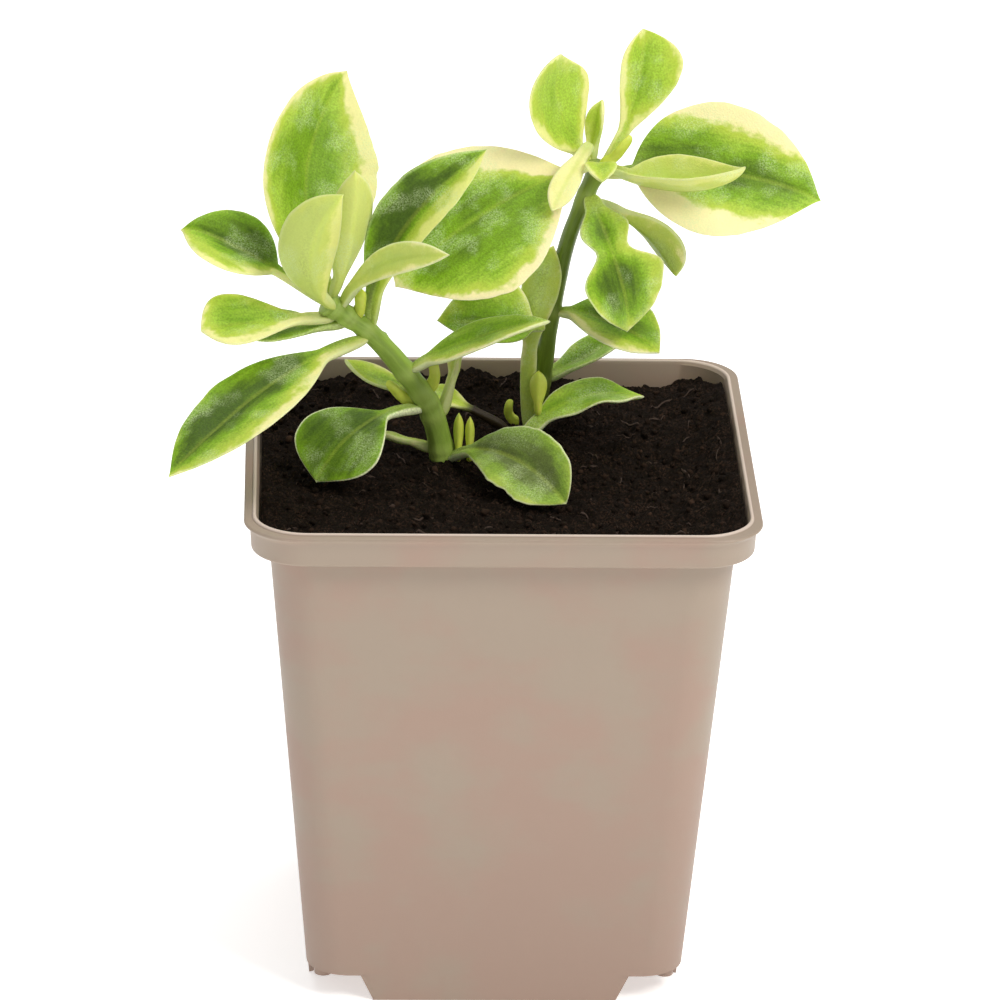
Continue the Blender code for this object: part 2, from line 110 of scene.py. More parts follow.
# Stems: x, y, z and radius at points along each, from below the soil to the growing tip.
STEMS = {
    "left": (
        (-9.0, 4.5, 84.0, 2.3),
        (-9.8, 4.0, 90.0, 2.2),
        (-12.2, 2.5, 99.7, 2.05),
        (-17.3, 1.0, 107.9, 1.9),
        (-22.9, -0.5, 114.8, 1.75),
        (-27.5, -1.5, 118.7, 1.8),
        (-31.0, -2.2, 121.4, 2.2),
    ),
    "right": (
        (6.6, 19.3, 84.0, 1.8),
        (7.0, 19.0, 89.5, 1.75),
        (8.2, 18.0, 98.4, 1.65),
        (9.2, 16.5, 108.5, 1.55),
        (10.3, 15.5, 116.6, 1.5),
        (12.3, 14.0, 127.5, 1.4),
        (15.6, 13.0, 137.3, 1.5),
        (17.9, 12.2, 142.6, 2.3),
    ),
}


@dataclass
class Leaf:
    """One leaf with its stalk: where it grows, which way it goes, and its sizes.

    azimuth turns from +X towards +Y and rise is above the horizon, both where the leaf starts.
    bend and hook change the rise towards the tip; sweep changes the azimuth.
    veer is how far the midrib turns sideways within the blade by the tip.
    shoulder and point say how gently the blade widens and narrows; stalk is the stalk's share of the length.
    fold, cup and wave shape the blade across; skew makes one half wider; waist narrows it at waist_at.
    clear is how far the leaf starts from the stem's skin.
    """

    name: str
    share: float = 0.0
    root: tuple = ()
    azimuth: float = 0.0
    rise: float = 0.0
    bend: float = 0.0
    hook: float = 0.0
    sweep: float = 0.0
    veer: float = 0.0
    length: float = 20.0
    width: float = 8.0
    stalk: float = 0.1
    stalk_width: float = 2.6
    shoulder: float = 1.0
    point: float = 0.75
    roll: float = 0.0
    twist: float = 0.0
    fold: float = 10.0
    cup: float = 0.1
    skew: float = 0.0
    wave: float = 0.0
    waist: float = 0.0
    waist_at: float = 0.4
    thick: float = 1.2
    clear: float = 0.45

    @property
    def stem(self):
        """The stem that bears it, named at the start of its name, unless it has a root of its own."""
        return "" if self.root else self.name.partition("_")[0]


@dataclass
class Look:
    """How one leaf is coloured.

    left and right are the widths of its pale margins at the base, middle and tip, seen from the stalk;
    a width below 0 keeps the yellow away from the edge too.
    tone goes from light green at 0 to dark green at 1, and pale from green at 0 to cream at 1.
    ripe is how far the margin has gone from lime to cream, and rim how strong the pale line on the edge is.
    ragged multiplies the unevenness of the outline, and dry is how far its stalk has dried.
    """

    left: tuple
    right: tuple
    tone: float
    pale: float = 0.0
    ripe: float = 0.5
    rim: float = 0.3
    ragged: float = 1.0
    dry: float = 0.0


def even(margin, tone, **rest):
    """A look with the same margin on both sides."""
    return Look(margin, margin, tone, **rest)


# Blade shapes: how gently the blade widens from its stalk and narrows to its tip.
OVAL = {"shoulder": 0.9, "point": 0.8}
SPOON = {"shoulder": 1.2, "point": 0.7}
EGG = {"shoulder": 0.75, "point": 0.9}

LEAVES = (
    # Left shoot and what grows at its foot.
    Leaf("left_tall_leaf", share=1.0, azimuth=143, rise=53, bend=25, veer=-55,
         length=42, width=23, shoulder=0.65, roll=-20, cup=0.12, skew=-0.12),
    Leaf("left_inner_leaf_front", share=1.0, azimuth=225, rise=36, bend=80, veer=30,
         length=26, width=11, roll=44, fold=20, cup=0.3, skew=-0.1, shoulder=0.7),
    Leaf("left_inner_leaf_back", share=1.0, azimuth=325, rise=68, bend=25,
         length=24, width=10, roll=-30, fold=20, cup=0.3, skew=0.25, **OVAL),
    Leaf("left_far_leaf", share=0.97, azimuth=172, rise=32, bend=-12, hook=-25, sweep=-15,
         length=29, width=16, stalk=0.35, roll=-25, fold=20, cup=0.05, skew=0.15, clear=0.6, **EGG),
    Leaf("left_spoon_leaf", share=0.92, azimuth=192, rise=2, veer=10,
         length=23, width=13, stalk=0.15, roll=-25, shoulder=1.3, point=0.5),
    Leaf("left_shaded_leaf", share=0.82, azimuth=180, rise=-6,
         length=17, width=9, roll=-20, **SPOON),
    Leaf("left_hanging_leaf", share=0.69, azimuth=218, rise=-3, bend=-38, hook=10,
         length=46, width=16.5, stalk=0.18, stalk_width=3.4, roll=-20, twist=20, fold=5, cup=0.05,
         skew=0.1, **OVAL),
    Leaf("left_recurved_leaf", share=0.9, azimuth=318, rise=59, bend=-62, hook=20,
         length=29, width=5.8, roll=70, **OVAL),
    Leaf("left_folded_leaf", share=0.7, azimuth=358, rise=88, bend=-65, hook=20,
         length=39, width=11, stalk=0.12, stalk_width=3.4, roll=60, twist=30, fold=18, cup=0.05,
         skew=0.2, **OVAL),
    Leaf("left_forward_leaf", share=0.48, azimuth=338, rise=36, bend=-20,
         length=28, width=10, stalk_width=3, roll=30, twist=-20, fold=6, skew=-0.1, **EGG),
    Leaf("left_narrow_leaf", share=0.31, azimuth=20, rise=72, bend=10,
         length=12, width=5, stalk=0.45, fold=15, **SPOON),
    Leaf("left_broad_leaf", share=0.36, azimuth=211, rise=10, bend=-65, sweep=10,
         length=25, width=18, stalk=0.25, roll=-5, twist=-15, fold=5, cup=0.05,
         shoulder=1.1, point=0.8),
    Leaf("left_behind_leaf", share=0.4, azimuth=150, rise=6, bend=20, hook=25, sweep=20,
         length=13.5, width=6, roll=-15, twist=10, **OVAL),
    Leaf("left_soil_leaf", share=0.17, azimuth=308, rise=34, bend=-64,
         length=33, width=13.5, stalk=0.15, stalk_width=2.4, roll=35, twist=10, fold=16, cup=0.05,
         shoulder=0.9, point=0.5),
    Leaf("left_dry_stalk_leaf", root=(1, 16, 91.1), azimuth=172, rise=30, bend=-12,
         length=15, width=5.5, stalk=0.42, stalk_width=1.6, roll=-20, **SPOON),
    # Right shoot and what grows at its foot.
    Leaf("right_largest_leaf", share=0.97, azimuth=198, rise=-12, bend=-32,
         length=41, width=30, roll=-40, fold=5, cup=0.05, skew=0.08, **OVAL),
    Leaf("right_under_leaf", root=(6.8, 10.5, 112), azimuth=184, rise=6,
         length=18, width=12, stalk=0.05, roll=-55, fold=8, skew=-0.4, shoulder=0.5, point=0.8),
    Leaf("right_upright_leaf", root=(6.3, 12.9, 90.8), azimuth=342, rise=98, bend=-27,
         length=37, width=7.0, stalk=0.4, stalk_width=3, roll=-85, fold=8, cup=0.05, **SPOON),
    Leaf("right_waisted_leaf", share=0.84, azimuth=294, rise=-40, bend=-50, sweep=45,
         length=25, width=18, stalk=0.05, stalk_width=4, point=0.8, roll=20, fold=8,
         waist=0.6, waist_at=0.36),
    Leaf("right_arched_leaf", share=0.82, azimuth=8, rise=-15, bend=-55,
         length=22, width=8, stalk=0.2, roll=-50, twist=10, fold=18, **SPOON),
    Leaf("right_dark_leaf", share=0.52, azimuth=340, rise=4, bend=-40,
         length=19.5, width=13, stalk=0.05, roll=25, **OVAL),
    Leaf("right_back_leaf", share=0.3, azimuth=33, rise=16,
         length=17, width=7, stalk_width=4, roll=15, fold=25, **OVAL),
    Leaf("right_wavy_leaf", root=(5.0, 9.6, 90.8), azimuth=14, rise=58, bend=-92, hook=25,
         length=25, width=8, stalk=0.2, stalk_width=3.2, roll=45, twist=-45, wave=0.6,
         shoulder=0.8, point=0.8),
    Leaf("right_big_leaf", share=0.97, azimuth=355, rise=12, bend=-35,
         length=38, width=25, roll=45, twist=15, fold=5, cup=0.05, shoulder=0.65, point=0.9),
    Leaf("right_channel_leaf", share=1.0, azimuth=330, rise=-13, bend=44, hook=20,
         length=27.5, width=11, shoulder=0.6, point=0.9, roll=15, fold=42),
    Leaf("right_top_leaf_left", share=0.97, azimuth=172, rise=48, bend=50, hook=20,
         length=21.5, width=18.5, roll=-30, fold=5, skew=0.1, shoulder=0.95, point=0.6),
    Leaf("right_top_leaf_right", share=0.99, azimuth=40, rise=44, bend=38, sweep=35,
         length=25, width=12.3, stalk=0.2, roll=40, fold=25, skew=-0.2, shoulder=1.2, point=0.5),
    Leaf("right_top_leaf_small", share=1.0, azimuth=45, rise=78,
         length=10, width=4.5, fold=20, **OVAL),
    Leaf("right_front_leaf", share=1.0, azimuth=273, rise=34, bend=-70,
         length=7.5, width=6, stalk_width=1.8, fold=15, **OVAL),
    Leaf("right_pale_leaf", root=(15.0, 10.4, 145.8), azimuth=238, rise=-26, bend=-16,
         length=14.5, width=5, roll=-30, shoulder=0.9, point=0.6),
    # Young buds and the smallest leaf.
    Leaf("soil_bud_tall", root=(-7.0, 3.4, 90.7), azimuth=270, rise=86, length=8, width=1.9, stalk=0.02,
         stalk_width=1.4, thick=1.6),
    Leaf("soil_bud_short", root=(-5.0, 3.4, 90.7), azimuth=270, rise=84, length=7.4, width=1.7, stalk=0.02,
         stalk_width=1.4, thick=1.6),
    Leaf("left_stem_bud_low", share=0.39, azimuth=190, rise=45, length=5.5, width=2.2,
         stalk=0.02, stalk_width=1.2, thick=1.4, clear=0.7),
    Leaf("left_stem_bud_high", share=0.40, azimuth=335, rise=80, bend=30, length=5.5, width=1.8,
         stalk=0.02, stalk_width=1.2, thick=1.4, clear=0.6),
    Leaf("left_axil_bud", share=0.79, azimuth=300, rise=80, length=4.2, width=2.2,
         stalk=0.02, stalk_width=1.6, thick=1.6, clear=0.6),
    Leaf("left_small_low_leaf", share=0.205, azimuth=176, rise=20, bend=-10,
         length=9.0, width=2.2, stalk=0.3, stalk_width=1.6),
    Leaf("right_foot_bud", root=(7.4, 10.8, 96.8), azimuth=270, rise=90, length=7, width=3.2,
         stalk=0.02, stalk_width=1.6, thick=1.6),
    Leaf("right_foot_sprout", root=(3.3, 20.2, 90.8), azimuth=170, rise=60, bend=50, length=4.0, width=1.6,
         stalk=0.02, stalk_width=1.2),
    Leaf("right_top_bud", root=(18.6, 11.2, 142.9), azimuth=350, rise=52, length=7.0, width=2.2,
         stalk_width=1.4, thick=1.4),
)

# How each leaf is coloured: margins left and right, tone, and what differs from most leaves.
LOOKS = {
    "left_tall_leaf": Look((0.2, 0.9, 1.5), (0.8, 3.0, 3.2), 0.4, ripe=0.65, rim=0.2),
    "left_inner_leaf_front": Look((1.8, 3.0, 2.0), (-2.0, -1.5, 0.0), 0.0, pale=0.4, ripe=0.25),
    "left_inner_leaf_back": Look((0.5, 0.8, 1.0), (-1.0, -1.0, 0.0), 0.0, pale=0.7, ripe=0.2),
    "left_far_leaf": Look((1.0, 2.0, 0.3), (-3.0, -2.2, -2.0), 0.8, ripe=0.45),
    "left_spoon_leaf": Look((3.0, 2.2, 2.5), (2.0, 0.0, 1.5), 0.5, ripe=0.55),
    "left_shaded_leaf": even((-2.0, -1.5, -1.5), 0.8),
    "left_hanging_leaf": Look((1.5, 1.4, 0.0), (-3.0, -2.2, -1.5), 1.0, ripe=0.6, rim=0.4),
    "left_recurved_leaf": even((0.2, 0.5, 0.6), 0.1, pale=0.25, ripe=0.7, rim=0.6),
    "left_folded_leaf": Look((-3.5, -3.0, -2.0), (-1.0, 2.9, 2.4), 1.05, ripe=0.15, ragged=1.6),
    "left_forward_leaf": Look((-2.0, -1.8, -1.0), (0.3, 1.0, 0.3), 0.6, ripe=0.7, rim=0.7),
    "left_narrow_leaf": even((0.5, 0.8, 0.5), 0.1, pale=0.3),
    "left_broad_leaf": even((-3.0, -3.2, -2.5), 0.85, ripe=0.9, rim=1.0, ragged=1.2),
    "left_behind_leaf": even((-0.5, 0.0, 0.2), 0.8, rim=0.6),
    "left_soil_leaf": Look((-3.0, -2.5, -1.5), (-2.5, -1.2, -0.8), 0.95, pale=0.08, ripe=1.0, rim=0.7,
                           ragged=4.0),
    "left_dry_stalk_leaf": even((0.0, 0.4, 0.3), 0.6, dry=1.0),
    "left_small_low_leaf": even((0.2, 0.4, 0.2), 0.35),
    "right_largest_leaf": Look((2.0, 2.0, 0.8), (9.0, 5.2, 1.0), 0.6, ripe=1.0, rim=0.1),
    "right_under_leaf": Look((-2.0, -2.0, -1.0), (1.0, 0.0, -0.5), 0.75, ripe=0.6, rim=0.5),
    "right_upright_leaf": even((0.0, 0.2, 0.2), 0.25, pale=0.1),
    "right_waisted_leaf": Look((-1.0, 0.3, 0.8), (-1.5, -1.0, -0.3), 0.85, ripe=0.6, rim=0.5, ragged=4.0),
    "right_arched_leaf": even((0.3, 0.8, 0.0), 0.7, pale=0.15, ripe=0.7, rim=0.7),
    "right_dark_leaf": Look((-2.0, -1.5, -0.5), (1.5, 1.8, 0.5), 0.9, ripe=0.7, rim=0.6, ragged=2.5),
    "right_back_leaf": even((-1.5, -1.5, -1.0), 0.75, rim=0.6),
    "right_wavy_leaf": even((-1.5, -1.5, -0.8), 0.6, rim=0.8, ragged=4.0),
    "right_big_leaf": Look((-10.0, 4.2, -4.0), (6.0, 5.3, -3.0), 0.76, ripe=0.95, rim=0.1),
    "right_channel_leaf": Look((0.8, 1.4, 1.0), (1.0, 1.9, 1.2), 0.0, pale=0.45, ripe=0.15),
    "right_top_leaf_left": Look((0.6, 1.2, 0.9), (1.2, 2.2, 1.0), 0.05, ripe=0.4, rim=0.2),
    "right_top_leaf_right": Look((1.2, 2.2, 1.5), (0.2, 0.6, 0.5), 0.2, ripe=0.5, rim=0.2),
    "right_top_leaf_small": even((0.2, 0.6, 0.6), 0.2),
    "right_front_leaf": even((-0.5, 0.3, 0.3), 0.5),
    "right_pale_leaf": even((1.0, 2.0, 1.5), 0.0, pale=0.75, ripe=0.6),
}
BUD_LOOK = even((0.0, 0.0, 0.0), 0.3)


def linear(code):
    """The linear colour of an sRGB hex code."""
    parts = [int(code[place:place + 2], 16) / 255.0 for place in (1, 3, 5)]
    return tuple(v / 12.92 if v <= 0.04045 else ((v + 0.055) / 1.055) ** 2.4 for v in parts) + (1.0,)


def colour_property(name, description, code):
    return bpy.props.FloatVectorProperty(name=name, description=description, subtype="COLOR", size=4,
                                         min=0.0, max=1.0, default=linear(code))


def size_property(name, description, default, highest):
    return bpy.props.FloatProperty(name=name, description=description, default=default, min=0.0, max=highest)


def count_property(name, description, default, lowest, highest):
    return bpy.props.IntProperty(name=name, description=description, default=default,
                                 min=lowest, max=highest)


class IcePlantSizes(bpy.types.PropertyGroup):
    """Sizes that a user would change."""

    rib_depth: size_property(
        "Midrib Depth", "Depth of the channel along a leaf's midrib, in millimetres", 0.28, 1.0)
    blade_lumps: size_property(
        "Blade Lumps", "Height of the soft lumps of a leaf's skin, in millimetres", 0.2, 1.0)
    edge_wobble: size_property(
        "Edge Wobble", "How uneven a leaf's outline is, as a share of its width", 0.03, 0.2)
    soil_cells: count_property("Soil Cells", "Cells of the soil's surface along one side", 270, 40, 300)
    crumbs: count_property("Crumbs", "Number of loose crumbs on the soil", 2600, 0, 6000)
    fibres: count_property("Fibres", "Number of loose peat fibres on the soil", 90, 0, 400)


class IcePlantColours(bpy.types.PropertyGroup):
    """Colours that a user would change."""

    pot: colour_property("Pot", "Taupe of the moulded pot", "#a08e7f")
    # Painted highlight along the bead of the lip.
    pot_bead_highlight: colour_property("Pot Bead Highlight", "Painted highlight along the bead of the pot's lip", "#dccabc")
    leaf_dark: colour_property("Dark Leaf", "Darkest green of a leaf's middle", "#445f0c")
    leaf_mid: colour_property("Leaf", "Fresh green of most of a leaf's middle", "#7ba31a")
    leaf_light: colour_property("Light Leaf", "Light green of a young leaf's middle", "#a9c843")
    leaf_yellow: colour_property("Lime Zone", "Lime between a leaf's middle and its margin", "#bdce4a")
    leaf_lime: colour_property("Young Margin", "Pale lime of a young margin", "#dfe67a")
    leaf_cream: colour_property("Cream Margin", "Cream of a ripe margin", "#f6ebb2")
    leaf_under: colour_property("Underside", "Soft green of a leaf's underside", "#b6c76c")
    leaf_stalk: colour_property("Stalk", "Pale green of a leaf's stalk", "#b4c268")
    leaf_rim: colour_property("Rim", "Pale line along a leaf's edge", "#e2e9b8")
    # Painted sheen: the whitish glint of light off the clear cells, painted into the leaf's colour.
    leaf_painted_glint: colour_property("Painted Cell Glint", "Painted whitish glint of light off a leaf's clear cells", "#d6e6ae")
    bud: colour_property("Bud", "Vivid yellow-green of a young bud", "#e3e765")
    stem_left: colour_property("Left Stem", "Green of the left stem", "#8da843")
    stem_right: colour_property("Right Stem", "Deeper green of the right stem", "#6f8526")
    soil_dark: colour_property("Moist Peat", "Near black of the moist peat", "#120b05")
    soil_brown: colour_property("Peat Fibre", "Brown of dry peat and fibres", "#483529")
    dry: colour_property("Dry Stalk", "Brown of a dried stalk", "#33281a")


def sizes():
    return bpy.context.scene.ice_plant_sizes


def colours():
    return bpy.context.scene.ice_plant_colours


def clamp(value):
    return min(max(value, 0.0), 1.0)


def bell(offset, width):
    """1 at no offset, falling to both sides."""
    return math.exp(-((offset / width) ** 2))


def fall(offset, width):
    """A soft step down from 1 to 0 across no offset."""
    return 1.0 / (1.0 + math.exp(offset / width))


def noise_at(x, y, z):
    return noise.noise(Vector((x, y, z)))


# Shapes shared with the solids: the stems' curves and the leaves' midribs and widths.

def stem_point(stem, share):
    """Centre, direction and radius of a stem at a share of its length, on a smooth curve."""
    points = [Vector(entry) for entry in STEMS[stem]]
    points = [2 * points[0] - points[1]] + points + [2 * points[-1] - points[-2]]
    spans = len(points) - 3
    place = clamp(share) * spans
    first = min(int(place), spans - 1)
    f = place - first
    a, b, c, d = points[first:first + 4]
    value = 0.5 * (2 * b + (c - a) * f + (2 * a - 5 * b + 4 * c - d) * f ** 2
                   + (3 * b - a - 3 * c + d) * f ** 3)
    slope = 0.5 * ((c - a) + 2 * (2 * a - 5 * b + 4 * c - d) * f + 3 * (3 * b - a - 3 * c + d) * f ** 2)
    return value.xyz, slope.xyz.normalized(), value.w


def direction(azimuth, rise):
    flat = math.cos(rise)
    return Vector((flat * math.cos(azimuth), flat * math.sin(azimuth), math.sin(rise)))


def leaf_root(leaf):
    """Where the leaf's stalk starts: at a place of its own, or just clear of the stem that bears it."""
    if leaf.root:
        return Vector(leaf.root)
    centre, along, radius = stem_point(leaf.stem, leaf.share)
    way = direction(math.radians(leaf.azimuth), math.radians(leaf.rise))
    out = (way - along * way.dot(along)).normalized()
    return centre + out * (radius + leaf.clear)


def leaf_frame(leaf, s):
    """Directions at a share s of the leaf's length: along it, across it and out of its upper face."""
    s = max(s, 0.0)
    rise = math.radians(leaf.rise + leaf.bend * s + leaf.hook * s ** 5)
    azimuth = math.radians(leaf.azimuth + leaf.sweep * s)
    along = direction(azimuth, rise)
    level = Vector((-math.sin(azimuth), math.cos(azimuth), 0.0))
    upward = along.cross(level)
    roll = math.radians(leaf.roll + leaf.twist * s)
    across = level * math.cos(roll) + upward * math.sin(roll)
    upper = upward * math.cos(roll) - level * math.sin(roll)
    veer = math.radians(leaf.veer * s)
    return (along * math.cos(veer) + across * math.sin(veer),
            across * math.cos(veer) - along * math.sin(veer), upper)


def leaf_midrib(leaf):
    """Points along the midrib, at even shares of its length."""
    points = [leaf_root(leaf)]
    for index in range(MIDRIB_STEPS):
        along, _, _ = leaf_frame(leaf, (index + 0.5) / MIDRIB_STEPS)
        points.append(points[-1] + along * (leaf.length / MIDRIB_STEPS))
    return points


def midrib_at(leaf, points, s):
    """A point of the midrib; below 0 it runs straight back into what bears the leaf."""
    if s < 0.0:
        return points[0] + leaf_frame(leaf, 0.0)[0] * (s * leaf.length)
    place = s * (len(points) - 1)
    first = min(int(place), len(points) - 2)
    return points[first].lerp(points[first + 1], place - first)


def half_width(leaf, s):
    u = max(s - leaf.stalk, 0.0) / (1.0 - leaf.stalk)
    widest = leaf.shoulder / (leaf.shoulder + leaf.point)
    blade = 0.5 * leaf.width * (u / widest) ** leaf.shoulder
    blade *= (max(1.0 - u, 0.0) / (1.0 - widest)) ** leaf.point
    blade *= 1.0 - leaf.waist * bell(u - leaf.waist_at, 0.13)
    stalk = 0.5 * leaf.stalk_width * max(1.0 - u, 0.0) ** 2
    return math.hypot(blade, stalk)


def three_way(values, s):
    """A value that runs smoothly through three: at the base, the middle and the tip."""
    base, middle, tip = values
    return base * (1 - s) * (1 - 2 * s) + 4 * middle * s * (1 - s) + tip * s * (2 * s - 1)


def seed_of(name):
    return sum((place + 1) * ord(letter) for place, letter in enumerate(name)) % 97


# Meshes.

def placed(name, data):
    made = bpy.data.objects.new(name, data)
    bpy.context.scene.collection.objects.link(made)
    return made


def object_of(work, name):
    mesh = bpy.data.meshes.new(name)
    work.to_mesh(mesh)
    work.free()
    return placed(name, mesh)


def piece_from(work, name, material, node_name=None, sharp=None):
    """Finishes a piece from a bmesh in millimetres, riding on the plant's body."""
    bmesh.ops.scale(work, vec=(MM, MM, MM), verts=work.verts)
    for face in work.faces:
        face.smooth = True
    made = object_of(work, name)
    if sharp:
        made.data.set_sharp_from_angle(angle=math.radians(sharp))
    made.data.materials.append(material)
    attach(made, BODY)
    if node_name:
        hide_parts(node_name)


def wall_stations():
    """Places along one wall of the square, from -1 to 1, with one at each end of a foot's slopes."""
    bottom_flat = BODY_BOTTOM_HALF * (1.0 - CORNER_RADIUS / RIM_HALF)
    foot = [FOOT_HALF_BOTTOM / bottom_flat, FOOT_HALF_TOP / bottom_flat]
    inner = [0.0, 0.2, 0.4, 0.6]
    return sorted({round(sign * value, 6) for value in inner + foot for sign in (-1, 1)})


def square_stations():
    """(quarter, kind, value) round the section: places on each wall and angles on each corner."""
    stations = []
    for quarter in range(4):
        stations += [(quarter, "wall", place) for place in wall_stations()]
        stations += [(quarter, "corner", 90.0 * step / CORNER_STEPS) for step in range(CORNER_STEPS + 1)]
    return stations


def square_point(half, corner, station, bow):
    """The point of a rounded square at a station."""
    quarter, kind, value = station
    if kind == "wall":
        x = half + bow * (1.0 - value * value)
        y = (half - corner) * value
    else:
        arc = math.radians(value)
        x = half - corner + corner * math.cos(arc)
        y = half - corner + corner * math.sin(arc)
    turn = math.radians(90.0 * quarter)
    return x * math.cos(turn) - y * math.sin(turn), x * math.sin(turn) + y * math.cos(turn)


def square_turned(profile):
    """A closed solid from profile points (half width, height), first and last on the axis."""
    work = bmesh.new()
    stations = square_stations()
    steps = len(stations)
    chain = [work.verts.new((half, 0.0, height)) for half, height in profile]
    edges = [work.edges.new(pair) for pair in zip(chain[:-1], chain[1:])]
    bmesh.ops.spin(work, geom=chain + edges, cent=(0, 0, 0), axis=(0, 0, 1), angle=2 * math.pi,
                   steps=steps, use_merge=True)
    for vert in work.verts:
        radius = math.hypot(vert.co.x, vert.co.y)
        if radius < 1e-4:
            vert.co.x = 0.0
            vert.co.y = 0.0
            continue
        step = round(math.degrees(math.atan2(vert.co.y, vert.co.x)) * steps / 360.0) % steps
        corner = CORNER_RADIUS * radius / RIM_HALF
        x, y = square_point(radius, corner, stations[step], wall_bow(vert.co.z))
        if vert.co.z < 0.01:
            vert.co.z = foot_edge(stations[step])
        vert.co.x = x
        vert.co.y = y
    bmesh.ops.remove_doubles(work, verts=work.verts, dist=1e-3)
    bmesh.ops.recalc_face_normals(work, faces=work.faces)
    return work


def foot_edge(station):
    """Height of the skirt's lower edge: down to the table under each wall's middle."""
    _, kind, value = station
    if kind == "corner":
        return FOOT_HEIGHT
    flat = BODY_BOTTOM_HALF * (1.0 - CORNER_RADIUS / RIM_HALF)
    return 0.0 if abs(value) * flat <= FOOT_HALF_BOTTOM + 0.01 else FOOT_HEIGHT


def arc_profile(centre, radius, start, end, count):
    """Profile points on an arc, by its angles in degrees."""
    points = []
    for index in range(count):
        angle = math.radians(start + (end - start) * index / (count - 1))
        points.append((centre[0] + radius * math.cos(angle), centre[1] + radius * math.sin(angle)))
    return points


def pot_profile():
    """The pot's wall from its floor's underside, up the outside, over the lip and down the inside."""
    slope = (BODY_TOP_HALF - BODY_BOTTOM_HALF) / (COLLAR_BOTTOM - SHELF_STEP)
    inner_bottom = BODY_BOTTOM_HALF - WALL
    shoulder = RIM_HEIGHT - LIP_STEP
    return [
        (0.0, FLOOR_BOTTOM),
        (inner_bottom - 0.3, FLOOR_BOTTOM),
        (inner_bottom, FLOOR_BOTTOM - 0.2),
        (inner_bottom - 0.1, 0.0),
        (BODY_BOTTOM_HALF - 0.1, 0.0),
        *((BODY_BOTTOM_HALF + slope * height, height) for height in WALL_HEIGHTS),
        (BODY_TOP_HALF, COLLAR_BOTTOM - SHELF_STEP),
        (BODY_TOP_HALF + 0.25, COLLAR_BOTTOM - 0.25),
        # The stacking collar: a shelf, a rounded lower edge, and a cove up to the lip.
        (COLLAR_HALF - 1.6, COLLAR_BOTTOM - 0.2),
        *arc_profile((COLLAR_HALF - 0.85, COLLAR_BOTTOM + 0.45), 0.6, -80.0, -5.0, 6),
        (COLLAR_HALF - 0.05, COLLAR_TOP - 0.8),
        (COLLAR_HALF + 0.12, COLLAR_TOP - 0.35),
        # The lip: a rounded outer edge, a step, and the bead along its top.
        (RIM_HALF - 0.35, COLLAR_TOP + 0.25),
        (RIM_HALF - 0.12, COLLAR_TOP + 0.45),
        *arc_profile((RIM_HALF - 0.35, shoulder - 0.35), 0.35, -40.0, 90.0, 6),
        (RIM_HALF - 1.2, shoulder - 0.02),
        (RIM_HALF - 1.4, shoulder),
        *arc_profile((RIM_HALF - 1.8, RIM_HEIGHT - 0.3), 0.3, 10.0, 170.0, 7),
        # The inside, down to the floor.
        (COLLAR_HALF - WALL - 0.5, RIM_HEIGHT - 0.8),
        (COLLAR_HALF - COLLAR_DRAFT - WALL, COLLAR_BOTTOM + 0.2),
        (BODY_TOP_HALF - WALL, COLLAR_BOTTOM - 1.0),
        (inner_bottom + 0.55, FLOOR_TOP),
        (0.0, FLOOR_TOP),
    ]


def wall_bow(height):
    """How far a moulded wall's middle stands out, which is most at half its height."""
    if height < 5.0 or height > COLLAR_BOTTOM - 1.5:
        return 0.0
    return WALL_BOW * math.sin(math.pi * height / COLLAR_BOTTOM)


def posts(across, back, radius, bottom, top, segments):
    """Four upright cylinders, one in each corner of the pot."""
    work = bmesh.new()
    for x in (-across, across):
        for y in (-back, back):
            made = bmesh.ops.create_cone(work, cap_ends=True, segments=segments, radius1=radius,
                                         radius2=radius, depth=top - bottom)
            bmesh.ops.translate(work, verts=made["verts"], vec=(x, y, 0.5 * (top + bottom)))
    return work


def combined(work, cutter_work, operation):
    """A bmesh with another cut out of it or added to it."""
    target = object_of(work, "carve_target")
    cutter = object_of(cutter_work, "carve_cutter")
    modifier = target.modifiers.new("carve", "BOOLEAN")
    modifier.operation = operation
    modifier.solver = "EXACT"
    modifier.object = cutter
    graph = bpy.context.evaluated_depsgraph_get()
    result = bmesh.new()
    result.from_mesh(target.evaluated_get(graph).to_mesh())
    for helper in (target, cutter):
        mesh = helper.data
        bpy.data.objects.remove(helper)
        bpy.data.meshes.remove(mesh)
    return result


def fine_leaf(leaf, look, relief):
    """A leaf's skin as a bmesh in millimetres, with what its material reads: places and margin widths."""
    around = max(24, min(96, 4 * round(leaf.width)))
    along = max(24, min(110, round(2.3 * leaf.length)))
    work = bmesh.new()
    bmesh.ops.create_uvsphere(work, u_segments=around, v_segments=along, radius=1.0)
    layers = {key: work.verts.layers.float.new(key) for key in LEAF_VALUES}
    layers["flat"] = work.verts.layers.float_vector.new("flat")
    midrib = leaf_midrib(leaf)
    seed = seed_of(leaf.name)
    back = ROOT_DEPTH if leaf.root else leaf.clear + 0.6 * stem_point(leaf.stem, leaf.share)[2]
    start = -back / leaf.length
    for vert in work.verts:
        share = clamp(0.5 * (1.0 - vert.co.z))
        s = start + (1.0 - start) * share
        ring = math.hypot(vert.co.x, vert.co.y)
        at_end = ring <= 1e-5
        c = 0.0 if at_end else vert.co.x / ring
        side = 0.0 if at_end or abs(abs(c) - 1.0) < 1e-6 else math.copysign(1.0, vert.co.y)
        vert.co, data = fine_leaf_point(leaf, look, midrib, share, s, c, side, seed, relief)
        for key, value in data.items():
            vert[layers[key]] = value
    bmesh.ops.reverse_faces(work, faces=work.faces)
    return work


